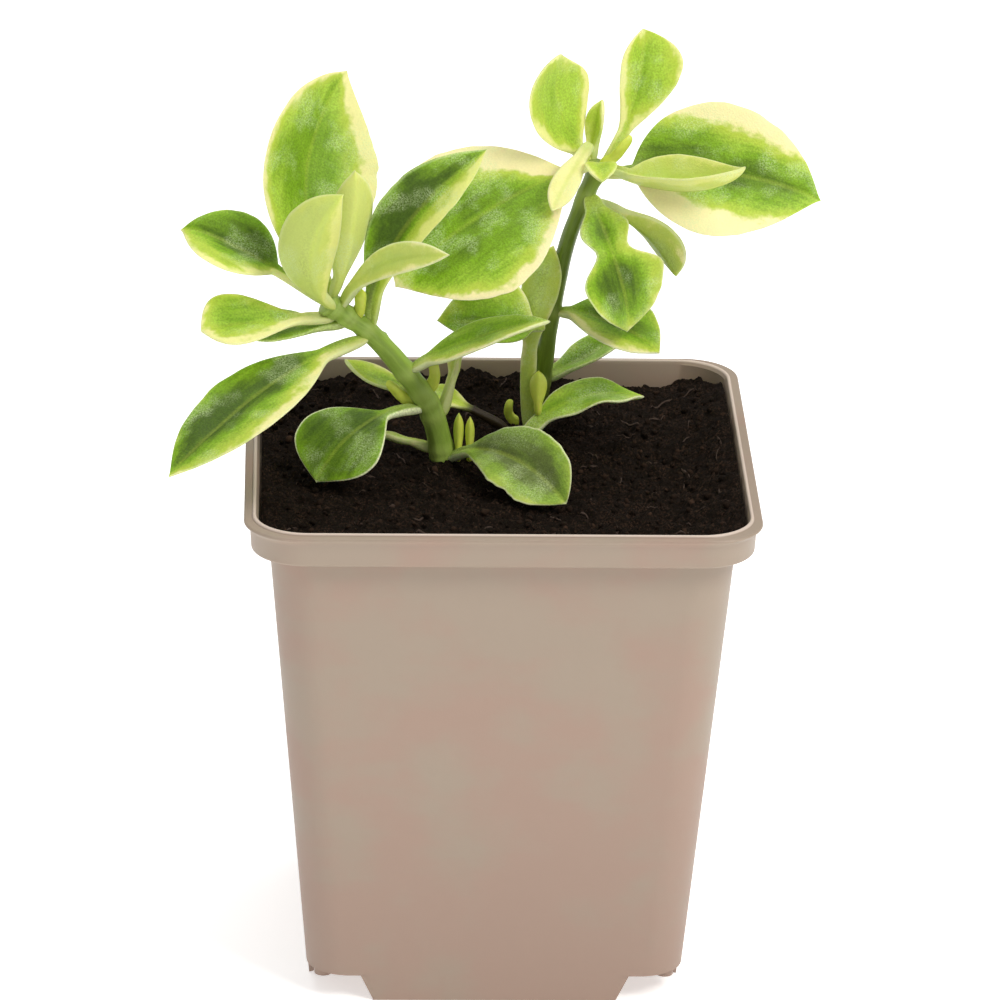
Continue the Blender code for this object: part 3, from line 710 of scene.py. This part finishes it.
def fine_leaf_point(leaf, look, midrib, share, s, c, side, seed, relief):
    """One point of a leaf's skin and the values that its material reads there.

    c runs from -1 to 1 across the leaf, side is 1 on its upper face and -1 below; u runs along the blade.
    """
    depth, lumps, wobble = relief
    wobble *= look.ragged
    _, across, upper = leaf_frame(leaf, s)
    u = max(s - leaf.stalk, 0.0) / (1.0 - leaf.stalk)
    end = math.sqrt(max(1.0 - abs(2.0 * share - 1.0) ** 8, 0.0))
    uneven = noise_at(seed * 3.1, s * leaf.length / 5.0, 7.0 if c > 0 else 2.0)
    uneven += 0.5 * noise_at(seed * 1.7, s * leaf.length / 1.9, 4.0 if c > 0 else 9.0)
    half = half_width(leaf, s)
    grown = min(2.0 * u, 1.0)
    x = c * half * (1.0 + leaf.skew * c) * end * (1.0 + wobble * uneven * abs(c) * grown)
    lift = abs(x) * (math.sin(math.radians(leaf.fold)) + leaf.cup * abs(c))
    phase = 1.3 if c < 0 else 0.0
    lift += leaf.wave * math.sin(4.0 * math.pi * u + phase) * c * c * math.sin(math.pi * u)
    blade = min(3.0 * u, 1.0) * max(1.0 - u, 0.0) ** 0.5
    lift -= depth * bell(x, 0.8) * blade
    spot = Vector((x / 6.0, s * leaf.length / 7.0, seed * 2.3))
    lift += lumps * (noise.noise(spot) + 0.4 * noise.noise(spot * 2.6)) * grown
    lift += 0.6 * wobble * half * uneven * c * c * blade
    thick = 0.5 * leaf.thick * (1.0 + 0.7 * bell(s, 0.25))
    thick *= end * math.sqrt(max(1.0 - abs(c) ** 3, 0.0))
    if side < 0:
        thick += 0.6 * depth * bell(x, 1.1) * blade * end
    flat = x * math.cos(math.radians(leaf.fold))
    place = midrib_at(leaf, midrib, s) + across * flat + upper * (lift + side * thick)
    edge = min((1.0 - abs(c)) * half, (1.0 - s) * leaf.length)
    here, there = (look.left, look.right) if c > 0 else (look.right, look.left)
    margin = three_way(here, max(s, 0.0))
    other = three_way(there, max(s, 0.0))
    mix = min(abs(c) * 4.0, 1.0)
    margin = mix * margin + (1.0 - mix) * 0.5 * (margin + other)
    return place, {
        "cream": margin - edge,
        "edge": edge,
        "rib": abs(x),
        "upper": 0.5 + 0.5 * side,
        "tone": look.tone,
        "pale": look.pale,
        "stalk": 1.0 - clamp(s / (leaf.stalk + 0.12)),
        "ripe": look.ripe,
        "rim": look.rim,
        "dry": look.dry * (1.0 if s < leaf.stalk else max(1.0 - 8.0 * (s - leaf.stalk), 0.0)),
        "flat": (x + 40.0 * (seed % 13), s * leaf.length, float(seed % 7)),
    }


# A stem's rough length, for the size of its details, and the share of it that rounds off each end.
STEM_LENGTH = 60.0
STEM_CAP = 0.015
# Small dry bracts: stem, share of its length, side in degrees and height.
BRACTS = (("right", 0.38, -20.0, 0.9), ("right", 0.66, -10.0, 0.7), ("left", 0.62, 130.0, 0.6))


def bract_height(stem, share, turn):
    height = 0.0
    for bearer, place, side, tall in BRACTS:
        if bearer == stem:
            off = (turn - math.radians(side) + math.pi) % (2.0 * math.pi) - math.pi
            height += tall * math.exp(-(off / 0.45) ** 2 - ((share - place) * STEM_LENGTH / 0.9) ** 2)
    return height


def fine_stem(stem):
    """A stem's skin: round, with a swollen joint under each pair of leaves and faint ridges."""
    joints = sorted({round(leaf.share, 2) for leaf in LEAVES if leaf.stem == stem})
    work = bmesh.new()
    bmesh.ops.create_uvsphere(work, u_segments=32, v_segments=180, radius=1.0)
    joint_layer = work.verts.layers.float.new("joint")
    flat_layer = work.verts.layers.float_vector.new("flat")
    for vert in work.verts:
        share = math.acos(min(max(-vert.co.z, -1.0), 1.0)) / math.pi
        turn = math.atan2(vert.co.y, vert.co.x)
        centre, along, radius = stem_point(stem, share)
        side = along.cross(Vector((0.0, 1.0, 0.0))).normalized()
        front = side.cross(along)
        near = max(bell((share - joint) * STEM_LENGTH, 1.3) for joint in joints)
        radius *= 1.0 + 0.10 * near
        radius += 0.04 * math.sin(5.0 * turn) + bract_height(stem, share, turn)
        radius += 0.10 * noise_at(math.cos(turn), math.sin(turn), share * STEM_LENGTH / 4.0)
        for past in (share - 1.0 + STEM_CAP, STEM_CAP - share):
            radius *= math.sqrt(max(1.0 - max(past / STEM_CAP, 0.0) ** 2, 0.0))
        vert.co = centre + (side * math.cos(turn) + front * math.sin(turn)) * radius
        vert[joint_layer] = near
        vert[flat_layer] = (2.0 * math.cos(turn), 2.0 * math.sin(turn), 0.14 * share * STEM_LENGTH)
    bmesh.ops.recalc_face_normals(work, faces=work.faces)
    return work


def soil_height(x, y):
    """Height of the plain soil's surface: a low mound at the back, and lower where it meets the wall."""
    mound = 1.1 * math.exp(-((x + 12.0) ** 2 + (y - 30.0) ** 2) / 260.0)
    rough = 0.25 * math.sin(0.45 * x + 0.6) * math.cos(0.38 * y) + 0.18 * math.sin(0.9 * y + 0.5 * x)
    edge = max(abs(x), abs(y)) / RIM_HALF
    return SOIL_LEVEL + mound + rough - SOIL_EDGE_DROP * edge ** 6


def crumb_height(x, y, size):
    """Rounded lumps of one size."""
    distances, _ = noise.voronoi(Vector((x / size, y / size, size)))
    return size * 0.42 * math.sqrt(max(1.0 - (distances[0] / 0.75) ** 2, 0.0))


def rough_soil_height(x, y):
    """The crumbly surface: heaped along the back wall and the side walls, then lumps of falling size."""
    heap = bell(y - 41.0, 5.0) * (1.0 + noise_at(x / 7.0, 4.0, 2.0))
    height = soil_height(x, y) - SOIL_SINK + BACK_HEAP * heap * fall(x - 16.0, 3.0)
    side = bell(x - 43.0, 7.5) + 0.2 * bell(x + 43.0, 5.0)
    height += SIDE_HEAP * side * (1.0 - 0.4 * fall(34.0 - y, 3.0))
    height += 0.55 * noise.fractal(Vector((x / 9.0, y / 9.0, 3.0)), 0.9, 2.2, 3)
    height += crumb_height(x, y, BIG_LUMP) * max(1.4 * noise_at(x / 4.0, y / 4.0, 11.0), 0.0)
    height += crumb_height(x + 17.0, y - 9.0, SMALL_LUMP) * (0.5 + noise_at(x / 3.0, y / 3.0, 5.0))
    height += 0.65 * noise.fractal(Vector((x / 1.4, y / 1.4, 9.0)), 0.7, 2.1, 4)
    return height


def rounded(u, v, half, corner):
    """A point of the unit square moved into a rounded square of the same middle."""
    x, y = u * half, v * half
    px, py = abs(x) - (half - corner), abs(y) - (half - corner)
    if px > 0.0 and py > 0.0:
        pull = max(px, py) / math.hypot(px, py)
        x = math.copysign(half - corner + px * pull, x)
        y = math.copysign(half - corner + py * pull, y)
    return x, y


def fine_soil(cells):
    """The filling: a crumbly surface over straight sides that follow the pot's inner wall down."""
    work = bmesh.new()
    bmesh.ops.create_grid(work, x_segments=cells, y_segments=cells, size=1.0)
    for vert in work.verts:
        x, y = rounded(vert.co.x, vert.co.y, SOIL_HALF, CORNER_RADIUS * SOIL_HALF / RIM_HALF)
        vert.co = (x, y, rough_soil_height(x, y))
    ring = [edge for edge in work.edges if edge.is_boundary]
    inner_half = BODY_TOP_HALF - WALL - GAP
    last = SOIL_HALF
    for half, height in ((SOIL_HALF, COLLAR_BOTTOM + 0.4), (inner_half, COLLAR_BOTTOM - 1.2),
                         (BODY_BOTTOM_HALF - WALL + 0.25, SOIL_FLOOR)):
        wall = bmesh.ops.extrude_edge_only(work, edges=ring)["geom"]
        ring = [item for item in wall if isinstance(item, bmesh.types.BMEdge) and item.is_boundary]
        for vert in {vert for edge in ring for vert in edge.verts}:
            vert.co = (vert.co.x * half / last, vert.co.y * half / last, height)
        last = half
    bmesh.ops.holes_fill(work, edges=ring, sides=0)
    bmesh.ops.recalc_face_normals(work, faces=work.faces)
    return work


def scatter(count, seed):
    """Even-looking places on the soil, from a low-discrepancy rule, clear of the wall."""
    reach = SOIL_HALF - LITTER_MARGIN
    for index in range(count):
        u = (0.5 + (index + seed) * 0.7548776662) % 1.0
        v = (0.5 + (index + seed) * 0.5698402910) % 1.0
        yield index, (2.0 * u - 1.0) * reach, (2.0 * v - 1.0) * reach


def fine_crumbs(count):
    work = bmesh.new()
    tint_layer = work.verts.layers.float.new("tint")
    for index, x, y in scatter(count, 5):
        random = noise.cell_vector(Vector((index * 1.37, index * 0.61, 3.0)))
        size = 0.16 + 0.6 * random.x ** 6
        made = bmesh.ops.create_icosphere(work, subdivisions=1, radius=size)["verts"]
        height = rough_soil_height(x, y) + 0.25 * size
        for vert in made:
            lump = 1.0 + 0.9 * noise.noise(vert.co * (1.1 / size) + Vector((index * 2.1, 0.0, 0.0)))
            vert.co = Vector((x, y, height)) + vert.co * lump
            vert[tint_layer] = random.y ** 4
    return work


def fine_fibres(count):
    """Loose peat fibres: thin bent tubes that lie on the soil."""
    work = bmesh.new()
    for index, x, y in scatter(count, 11):
        random = noise.cell_vector(Vector((index * 0.77, index * 1.91, 8.0)))
        length = 1.6 + 4.2 * random.x ** 2
        thickness = 0.09 + 0.12 * random.y
        turn = 2.0 * math.pi * random.z
        made = bmesh.ops.create_uvsphere(work, u_segments=6, v_segments=9, radius=1.0)["verts"]
        for vert in made:
            along = vert.co.z * 0.5 * length
            bend = 0.35 * (along * along) / length * (random.y - 0.5) * 3.0
            px = x + along * math.cos(turn) - (bend + vert.co.x * thickness) * math.sin(turn)
            py = y + along * math.sin(turn) + (bend + vert.co.x * thickness) * math.cos(turn)
            vert.co = (px, py, rough_soil_height(px, py) + thickness * (0.6 + vert.co.y) + 0.1)
    return work


# Materials.

def node(tree, kind, inputs=None, **settings):
    """Adds a node with its settings, and links or sets its inputs."""
    made = tree.nodes.new(kind)
    for key, value in settings.items():
        setattr(made, key, value)
    for key, value in (inputs or {}).items():
        if isinstance(value, bpy.types.NodeSocket):
            tree.links.new(value, made.inputs[key])
        else:
            made.inputs[key].default_value = value
    return made


def new_material(name):
    """A material with its tree, its shader and object coordinates in millimetres."""
    made = bpy.data.materials.new(name)
    made.use_nodes = True
    tree = made.node_tree
    place = node(tree, "ShaderNodeTexCoord").outputs["Object"]
    return made, tree, tree.nodes["Principled BSDF"], scaled(tree, place, 1.0 / MM)


def scaled(tree, vector, gain):
    return node(tree, "ShaderNodeVectorMath", {0: vector, "Scale": gain}, operation="SCALE").outputs[0]


def attribute(tree, name, output="Fac"):
    return node(tree, "ShaderNodeAttribute", attribute_name=name).outputs[output]


def noise_of(tree, place, scale, detail, roughness=0.5):
    inputs = {"Vector": place, "Scale": scale, "Detail": detail, "Roughness": roughness}
    return node(tree, "ShaderNodeTexNoise", inputs).outputs["Fac"]


def cells_of(tree, place, scale):
    return node(tree, "ShaderNodeTexVoronoi", {"Vector": place, "Scale": scale}).outputs["Distance"]


def stretched(tree, place, scale):
    return node(tree, "ShaderNodeMapping", {"Vector": place, "Scale": scale}).outputs[0]


def joined(tree, operation, first, second):
    return node(tree, "ShaderNodeMath", {0: first, 1: second}, operation=operation).outputs[0]


def added(tree, value, gain, offset):
    """value times gain plus offset."""
    return node(tree, "ShaderNodeMath", {0: value, 1: gain, 2: offset}, operation="MULTIPLY_ADD").outputs[0]


def mixed(tree, factor, first, second):
    return node(tree, "ShaderNodeMix", {0: factor, 6: first, 7: second}, data_type="RGBA").outputs[2]


def layered(tree, base, layers):
    """A colour with others laid over it in turn, each by its own factor."""
    for factor, colour in layers:
        base = mixed(tree, factor, base, colour)
    return base


def ramp(tree, value, low, high, start=0.0, end=1.0, kind="SMOOTHSTEP"):
    """A run from start to end as the value goes from low to high, smooth unless its kind says otherwise."""
    inputs = {"Value": value, "From Min": low, "From Max": high, "To Min": start, "To Max": end}
    return node(tree, "ShaderNodeMapRange", inputs, interpolation_type=kind).outputs[0]


def tinted(colour, gains, lift=0.0):
    """A colour with each channel multiplied by its gain and then lifted."""
    return tuple(min(value * gain + lift, 1.0) for value, gain in zip(colour[:3], gains)) + (1.0,)


def surface(tree, shader, base, relief, strength, depth, constants):
    """Links the colour and a relief, whose depth is in millimetres, and sets the shader's constants."""
    bump = node(tree, "ShaderNodeBump", {"Height": relief, "Strength": strength, "Distance": depth * MM})
    tree.links.new(base, shader.inputs["Base Color"])
    tree.links.new(bump.outputs[0], shader.inputs["Normal"])
    for key, value in constants.items():
        shader.inputs[key].default_value = value


def flesh(weight, reach, scale):
    """What living tissue sets: the index of its watery cells, and light that spreads most in green."""
    return {"IOR": 1.42, "Subsurface Weight": weight, "Subsurface Radius": reach,
            "Subsurface Scale": scale * MM}


def leaf_material(name):
    """Living leaf of a fleshy plant: a waxy skin with fine clear cells, green flesh and cream margins.

    The cells, about 0.25 mm across, give a grainy whitish glint, which is painted sheen in the colour, and
    the flesh lets some light through.
    """
    paint = colours()
    made, tree, shader, mm = new_material(name)
    read = {key: attribute(tree, key) for key in LEAF_VALUES}
    flat = attribute(tree, "flat", "Vector")
    broad = noise_of(tree, flat, 0.15, 1.0)
    lobes = noise_of(tree, stretched(tree, flat, (1.0, 0.5, 1.0)), 0.33, 2.0)
    fine = noise_of(tree, flat, 1.0, 3.0)
    streaks = noise_of(tree, stretched(tree, flat, (1.0, 0.14, 1.0)), 0.9, 2.0)
    grain = noise_of(tree, mm, 4.2, 2.0)
    # The margin's boundary wanders with the noise.
    reach = added(tree, lobes, 5.0, added(tree, read["cream"], 1.0, -2.5))
    reach = added(tree, fine, 1.6, added(tree, reach, 1.0, -0.8))
    # Flesh: darkest deep inside the blade, in soft patches and faint streaks.
    shade = joined(tree, "MULTIPLY", ramp(tree, reach, -6.5, -1.2, 1.0, 0.25), read["tone"])
    for pattern in (broad, streaks):
        shade = added(tree, pattern, 0.6, added(tree, shade, 1.0, -0.3))
    # The margin goes from lime to cream as it ripens.
    ripened = mixed(tree, read["ripe"], paint.leaf_lime, paint.leaf_cream)
    rim = joined(tree, "MULTIPLY", ramp(tree, read["edge"], 0.12, 0.5, 1.0, 0.0), read["rim"])
    # Painted sheen: the clear cells' whitish glint of light is painted into the colour in soft patches.
    patches = ramp(tree, noise_of(tree, flat, 0.16, 2.0), 0.48, 0.66, 0.02, 0.48)
    glint = joined(tree, "MULTIPLY", ramp(tree, grain, 0.3, 0.75), patches)
    base = layered(tree, paint.leaf_light, (
        (ramp(tree, shade, -0.1, 0.5), paint.leaf_mid),
        (ramp(tree, shade, 0.4, 1.05), paint.leaf_dark),
        (ramp(tree, read["upper"], 0.2, 0.45, 0.45, 0.0), paint.leaf_under),
        (ramp(tree, reach, -2.7, 0.1, 0.0, 0.9), paint.leaf_yellow),
        (ramp(tree, reach, -0.4, 1.1), ripened),
        (read["pale"], ripened),
        # Stalk, midrib and rim are paler than the blade.
        (ramp(tree, read["stalk"], 0.0, 1.0, 0.0, 0.6), paint.leaf_stalk),
        (ramp(tree, read["rib"], 0.1, 0.6, 0.2, 0.0), paint.leaf_yellow),
        (rim, paint.leaf_rim),
        # Painted sheen of the clear cells.
        (glint, paint.leaf_painted_glint),
        (read["dry"], paint.dry),
    ))
    # Fine grain of the skin, 0.4 mm across, which fades out where the flesh is pale.
    skin = noise_of(tree, mm, 2.8, 3.0)
    rough = scaled(tree, base, ramp(tree, skin, 0.3, 0.7, 0.84, 1.2))
    green = ramp(tree, added(tree, read["pale"], 11.0, reach), -2.5, 0.5, 1.0, 0.15)
    base = mixed(tree, green, base, rough)
    tree.links.new(ramp(tree, grain, 0.3, 0.7, 0.38, 0.55), shader.inputs["Roughness"])
    relief = added(tree, cells_of(tree, mm, 3.2), -0.5, added(tree, skin, 1.5, grain))
    surface(tree, shader, base, relief, 0.4, 0.13,
            {"Specular IOR Level": 0.3, **flesh(0.18, (1.0, 1.6, 0.4), 1.2)})
    return made


def bud_material():
    """Young bud: smooth, vivid yellow-green flesh that lets light through."""
    paint = colours()
    made, tree, shader, mm = new_material("young_bud_flesh")
    base = mixed(tree, noise_of(tree, mm, 0.5, 3.0), paint.bud, paint.leaf_yellow)
    surface(tree, shader, base, cells_of(tree, mm, 3.0), 0.4, 0.08,
            {"Roughness": 0.4, **flesh(0.25, (1.0, 1.6, 0.3), 1.0)})
    return made


def stem_material(name, green):
    """Fleshy stem: waxy green skin with faint lengthwise streaks and fine clear cells."""
    made, tree, shader, mm = new_material(name)
    streaks = noise_of(tree, attribute(tree, "flat", "Vector"), 0.8, 3.0)
    dark = tinted(green, (0.82, 0.82, 0.82))
    light = tinted(green, (1.15, 1.15, 1.15), 0.01)
    base = mixed(tree, ramp(tree, streaks, 0.35, 0.65), dark, light)
    joint = joined(tree, "MULTIPLY", attribute(tree, "joint"), 0.35)
    base = mixed(tree, joint, base, colours().leaf_under)
    relief = added(tree, cells_of(tree, mm, 2.8), -0.6, streaks)
    surface(tree, shader, base, relief, 0.5, 0.1, {"Roughness": 0.42, **flesh(0.15, (1.0, 1.4, 0.4), 1.0)})
    return made


def soil_material(name, tint_attribute=None):
    """Moist peat: near black and dull, with brown flecks of dry fibre 0.3 to 1 mm across."""
    paint = colours()
    made, tree, shader, mm = new_material(name)
    coarse = noise_of(tree, mm, 0.35, 5.0, 0.65)
    fine = noise_of(tree, mm, 2.3, 4.0, 0.7)
    fleck = ramp(tree, fine, 0.49, 0.62, kind="LINEAR")
    mask = joined(tree, "MULTIPLY", fleck, ramp(tree, coarse, 0.4, 0.7, 0.12, 1.0, "LINEAR"))
    if tint_attribute:
        mask = joined(tree, "MAXIMUM", mask, attribute(tree, tint_attribute))
    base = mixed(tree, mask, paint.soil_dark, paint.soil_brown)
    surface(tree, shader, base, fine, 1.0, 0.4, {"Roughness": 0.92, "Specular IOR Level": 0.12})
    return made


def fibre_material(name, brown):
    """Dry plant fibre: dull, brown, with a faint grain along it."""
    made, tree, shader, mm = new_material(name)
    grain = noise_of(tree, mm, 2.0, 3.0)
    base = mixed(tree, grain, tinted(brown, (0.4, 0.4, 0.4)), brown)
    surface(tree, shader, base, grain, 0.5, 0.1, {"Roughness": 0.85})
    return made


def pot_material():
    """Injection-moulded polypropylene with some recycled stock: satin taupe, faintly clouded.

    The mould's fine texture, about 0.2 mm, dulls the gloss. The melt leaves soft clouds 10 to 20 mm wide.
    """
    paint = colours()
    made, tree, shader, mm = new_material("taupe_moulded_polypropylene")
    cloud = noise_of(tree, mm, 0.07, 4.0)
    flow = noise_of(tree, stretched(tree, mm, (0.25, 0.25, 1.0)), 0.35, 3.0)
    height = node(tree, "ShaderNodeSeparateXYZ", {0: mm}).outputs[2]
    clouds = added(tree, flow, 0.6, added(tree, cloud, 2.2, -1.1))
    clouds = added(tree, ramp(tree, height, 10.0, 80.0, 0.45, -0.05), 1.0, clouds)
    grey = tinted(paint.pot, (0.985, 1.0, 0.97))
    pink = tinted(paint.pot, (1.04, 0.93, 0.915))
    base = mixed(tree, ramp(tree, clouds, 0.05, 0.8), grey, pink)
    # Darker towards the bottom.
    base = scaled(tree, base, ramp(tree, height, 5.0, 60.0, 0.93, 1.0))
    # Painted highlight: the bead along the lip is painted paler where light catches its rounded top.
    bead = ramp(tree, height, RIM_HEIGHT - 0.38, RIM_HEIGHT - 0.15, 0.0, 0.8)
    base = mixed(tree, bead, base, paint.pot_bead_highlight)
    tree.links.new(ramp(tree, cloud, 0.3, 0.7, 0.42, 0.52, "LINEAR"), shader.inputs["Roughness"])
    relief = added(tree, cloud, 8.0, noise_of(tree, mm, 5.0, 2.0))
    surface(tree, shader, base, relief, 0.25, 0.06, {"IOR": 1.49})
    return made


# Operators, one for each piece or group of like pieces.

class ICEPLANT_OT_pot(bpy.types.Operator):
    """Build the moulded square pot with its lip, collar, feet and drain holes"""

    bl_idname = "ice_plant.pot"
    bl_label = "Nursery Pot"

    def execute(self, context):
        drains = posts(DRAIN_OFFSET, DRAIN_OFFSET, DRAIN_RADIUS,
                       FLOOR_BOTTOM - 2.0, FLOOR_TOP + 2.0, DRAIN_SIDES)
        work = combined(square_turned(pot_profile()), drains, "DIFFERENCE")
        stubs = posts(STUB_ACROSS, STUB_BACK, STUB_RADIUS, STUB_BOTTOM, STUB_TOP, STUB_SIDES)
        work = combined(work, stubs, "UNION")
        piece_from(work, "nursery_pot", pot_material(), "pot", SHARP_FROM)
        return {"FINISHED"}


class ICEPLANT_OT_soil(bpy.types.Operator):
    """Build the crumbly peat with its loose crumbs and fibres"""

    bl_idname = "ice_plant.soil"
    bl_label = "Peat"

    def execute(self, context):
        want = sizes()
        piece_from(fine_soil(want.soil_cells), "moist_peat", soil_material("moist_peat"), "soil")
        crumbs = soil_material("peat_crumbs", "tint")
        piece_from(fine_crumbs(want.crumbs), "loose_peat_crumbs", crumbs)
        fibres = fibre_material("dry_peat_fibre", colours().soil_brown)
        piece_from(fine_fibres(want.fibres), "loose_peat_fibres", fibres)
        return {"FINISHED"}


class ICEPLANT_OT_stems(bpy.types.Operator):
    """Build the two fleshy stems"""

    bl_idname = "ice_plant.stems"
    bl_label = "Stems"

    def execute(self, context):
        for stem, green in (("left", colours().stem_left), ("right", colours().stem_right)):
            made = stem_material(stem + "_stem_flesh", green)
            piece_from(fine_stem(stem), stem + "_fleshy_stem", made, stem + "_stem")
        return {"FINISHED"}


class ICEPLANT_OT_leaves(bpy.types.Operator):
    """Build every leaf with its stalk, midrib and pale margins, and the young buds"""

    bl_idname = "ice_plant.leaves"
    bl_label = "Leaves and Buds"

    def execute(self, context):
        want = sizes()
        relief = (want.rib_depth, want.blade_lumps, want.edge_wobble)
        blade = leaf_material("variegated_leaf")
        bud = bud_material()
        for leaf in LEAVES:
            name = "fine_" + leaf.name
            if leaf.name in LOOKS:
                piece_from(fine_leaf(leaf, LOOKS[leaf.name], relief), name, blade, leaf.name)
            else:
                piece_from(fine_leaf(leaf, BUD_LOOK, BUD_RELIEF), name, bud, leaf.name)
        return {"FINISHED"}


class ICEPLANT_OT_stage(bpy.types.Operator):
    """Set up the pale floor, the soft studio lights and the camera"""

    bl_idname = "ice_plant.stage"
    bl_label = "Studio"

    def execute(self, context):
        build_floor()
        for name, place, size, energy, tint in STUDIO_LIGHTS:
            add_light(name, Vector(place), size, energy, linear(tint)[:3])
        build_world()
        build_camera()
        return {"FINISHED"}


# Stage.

# The lights point at FOCUS. Each has its place and side in metres, its power in watts and its tint.
FOCUS = Vector((0.0, 0.0, 0.1))
STUDIO_LIGHTS = (
    ("key_softbox", (0.7, -0.7, 1.1), 0.5, 10.5, "#fffdf8"),
    ("fill_softbox", (-0.9, -0.9, 0.6), 0.9, 0.9, "#fbfdff"),
    ("top_softbox", (0.0, 0.35, 1.4), 1.2, 9.5, "#ffffff"),
)
# The camera's place in metres, its turns in degrees, and its lens and sensor in millimetres.
CAMERA_PLACE = (-0.0374, -1.0855, 0.5158)
CAMERA_PITCH = 21.72
CAMERA_YAW = 2.0
CAMERA_ROLL = 1.06
CAMERA_LENS = 235.4
SENSOR_WIDTH = 36.0
NEAREST = 0.05
FLOOR_HALF = 4.0
FLOOR_GLOW = 0.5
SKY_STRENGTH = 0.36


def build_floor():
    """A wide sheet of matt white paper, which glows a little so that it stays white under the plant."""
    work = bmesh.new()
    bmesh.ops.create_grid(work, x_segments=1, y_segments=1, size=FLOOR_HALF)
    floor = object_of(work, "studio_floor")
    made, tree, shader, mm = new_material("pale_paper_sweep")
    white = linear("#ffffff")
    base = mixed(tree, noise_of(tree, mm, 0.004, 2.0), linear("#fbfbfa"), white)
    tree.links.new(base, shader.inputs["Base Color"])
    shader.inputs["Roughness"].default_value = 0.9
    shader.inputs["Emission Color"].default_value = white
    shader.inputs["Emission Strength"].default_value = FLOOR_GLOW
    floor.data.materials.append(made)


def add_light(name, place, size, energy, tint):
    lamp = bpy.data.lights.new(name, "AREA")
    lamp.shape = "SQUARE"
    lamp.size = size
    lamp.energy = energy
    lamp.color = tint
    turn = (place - FOCUS).to_track_quat("Z", "Y").to_matrix().to_4x4()
    placed(name, lamp).matrix_world = Matrix.Translation(place) @ turn


def build_world():
    world = bpy.data.worlds.new("white_studio")
    world.use_nodes = True
    background = world.node_tree.nodes["Background"]
    background.inputs["Color"].default_value = linear("#ffffff")
    background.inputs["Strength"].default_value = SKY_STRENGTH
    bpy.context.scene.world = world
    bpy.context.scene.view_settings.view_transform = "Standard"


def build_camera():
    data = bpy.data.cameras.new("photo_camera")
    data.lens = CAMERA_LENS
    data.sensor_width = SENSOR_WIDTH
    data.clip_start = NEAREST
    camera = placed("photo_camera", data)
    turn = (Matrix.Rotation(math.radians(-CAMERA_YAW), 4, "Z")
            @ Matrix.Rotation(math.radians(90.0 - CAMERA_PITCH), 4, "X")
            @ Matrix.Rotation(math.radians(CAMERA_ROLL), 4, "Z"))
    camera.matrix_world = Matrix.Translation(CAMERA_PLACE) @ turn
    bpy.context.scene.camera = camera


OPERATORS = (ICEPLANT_OT_pot, ICEPLANT_OT_soil, ICEPLANT_OT_stems, ICEPLANT_OT_leaves, ICEPLANT_OT_stage)


class ICEPLANT_PT_panel(bpy.types.Panel):
    """Lists the sizes, the colours and the operators"""

    bl_idname = "ICEPLANT_PT_panel"
    bl_label = "Ice Plant"
    bl_space_type = "VIEW_3D"
    bl_region_type = "UI"
    bl_category = "Ice Plant"

    def draw(self, context):
        for group in (sizes(), colours()):
            box = self.layout.box()
            for key in group.__annotations__:
                box.prop(group, key)
        for operator in OPERATORS:
            self.layout.operator(operator.bl_idname)


CLASSES = (IcePlantSizes, IcePlantColours) + OPERATORS + (ICEPLANT_PT_panel,)


def register():
    for entry in CLASSES:
        bpy.utils.register_class(entry)
    bpy.types.Scene.ice_plant_sizes = bpy.props.PointerProperty(type=IcePlantSizes)
    bpy.types.Scene.ice_plant_colours = bpy.props.PointerProperty(type=IcePlantColours)


def unregister():
    del bpy.types.Scene.ice_plant_sizes
    del bpy.types.Scene.ice_plant_colours
    for entry in reversed(CLASSES):
        bpy.utils.unregister_class(entry)


def main():
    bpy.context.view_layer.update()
    register()
    bpy.ops.ice_plant.pot()
    bpy.ops.ice_plant.soil()
    bpy.ops.ice_plant.stems()
    bpy.ops.ice_plant.leaves()
    bpy.ops.ice_plant.stage()


if __name__ == "__main__":
    main()
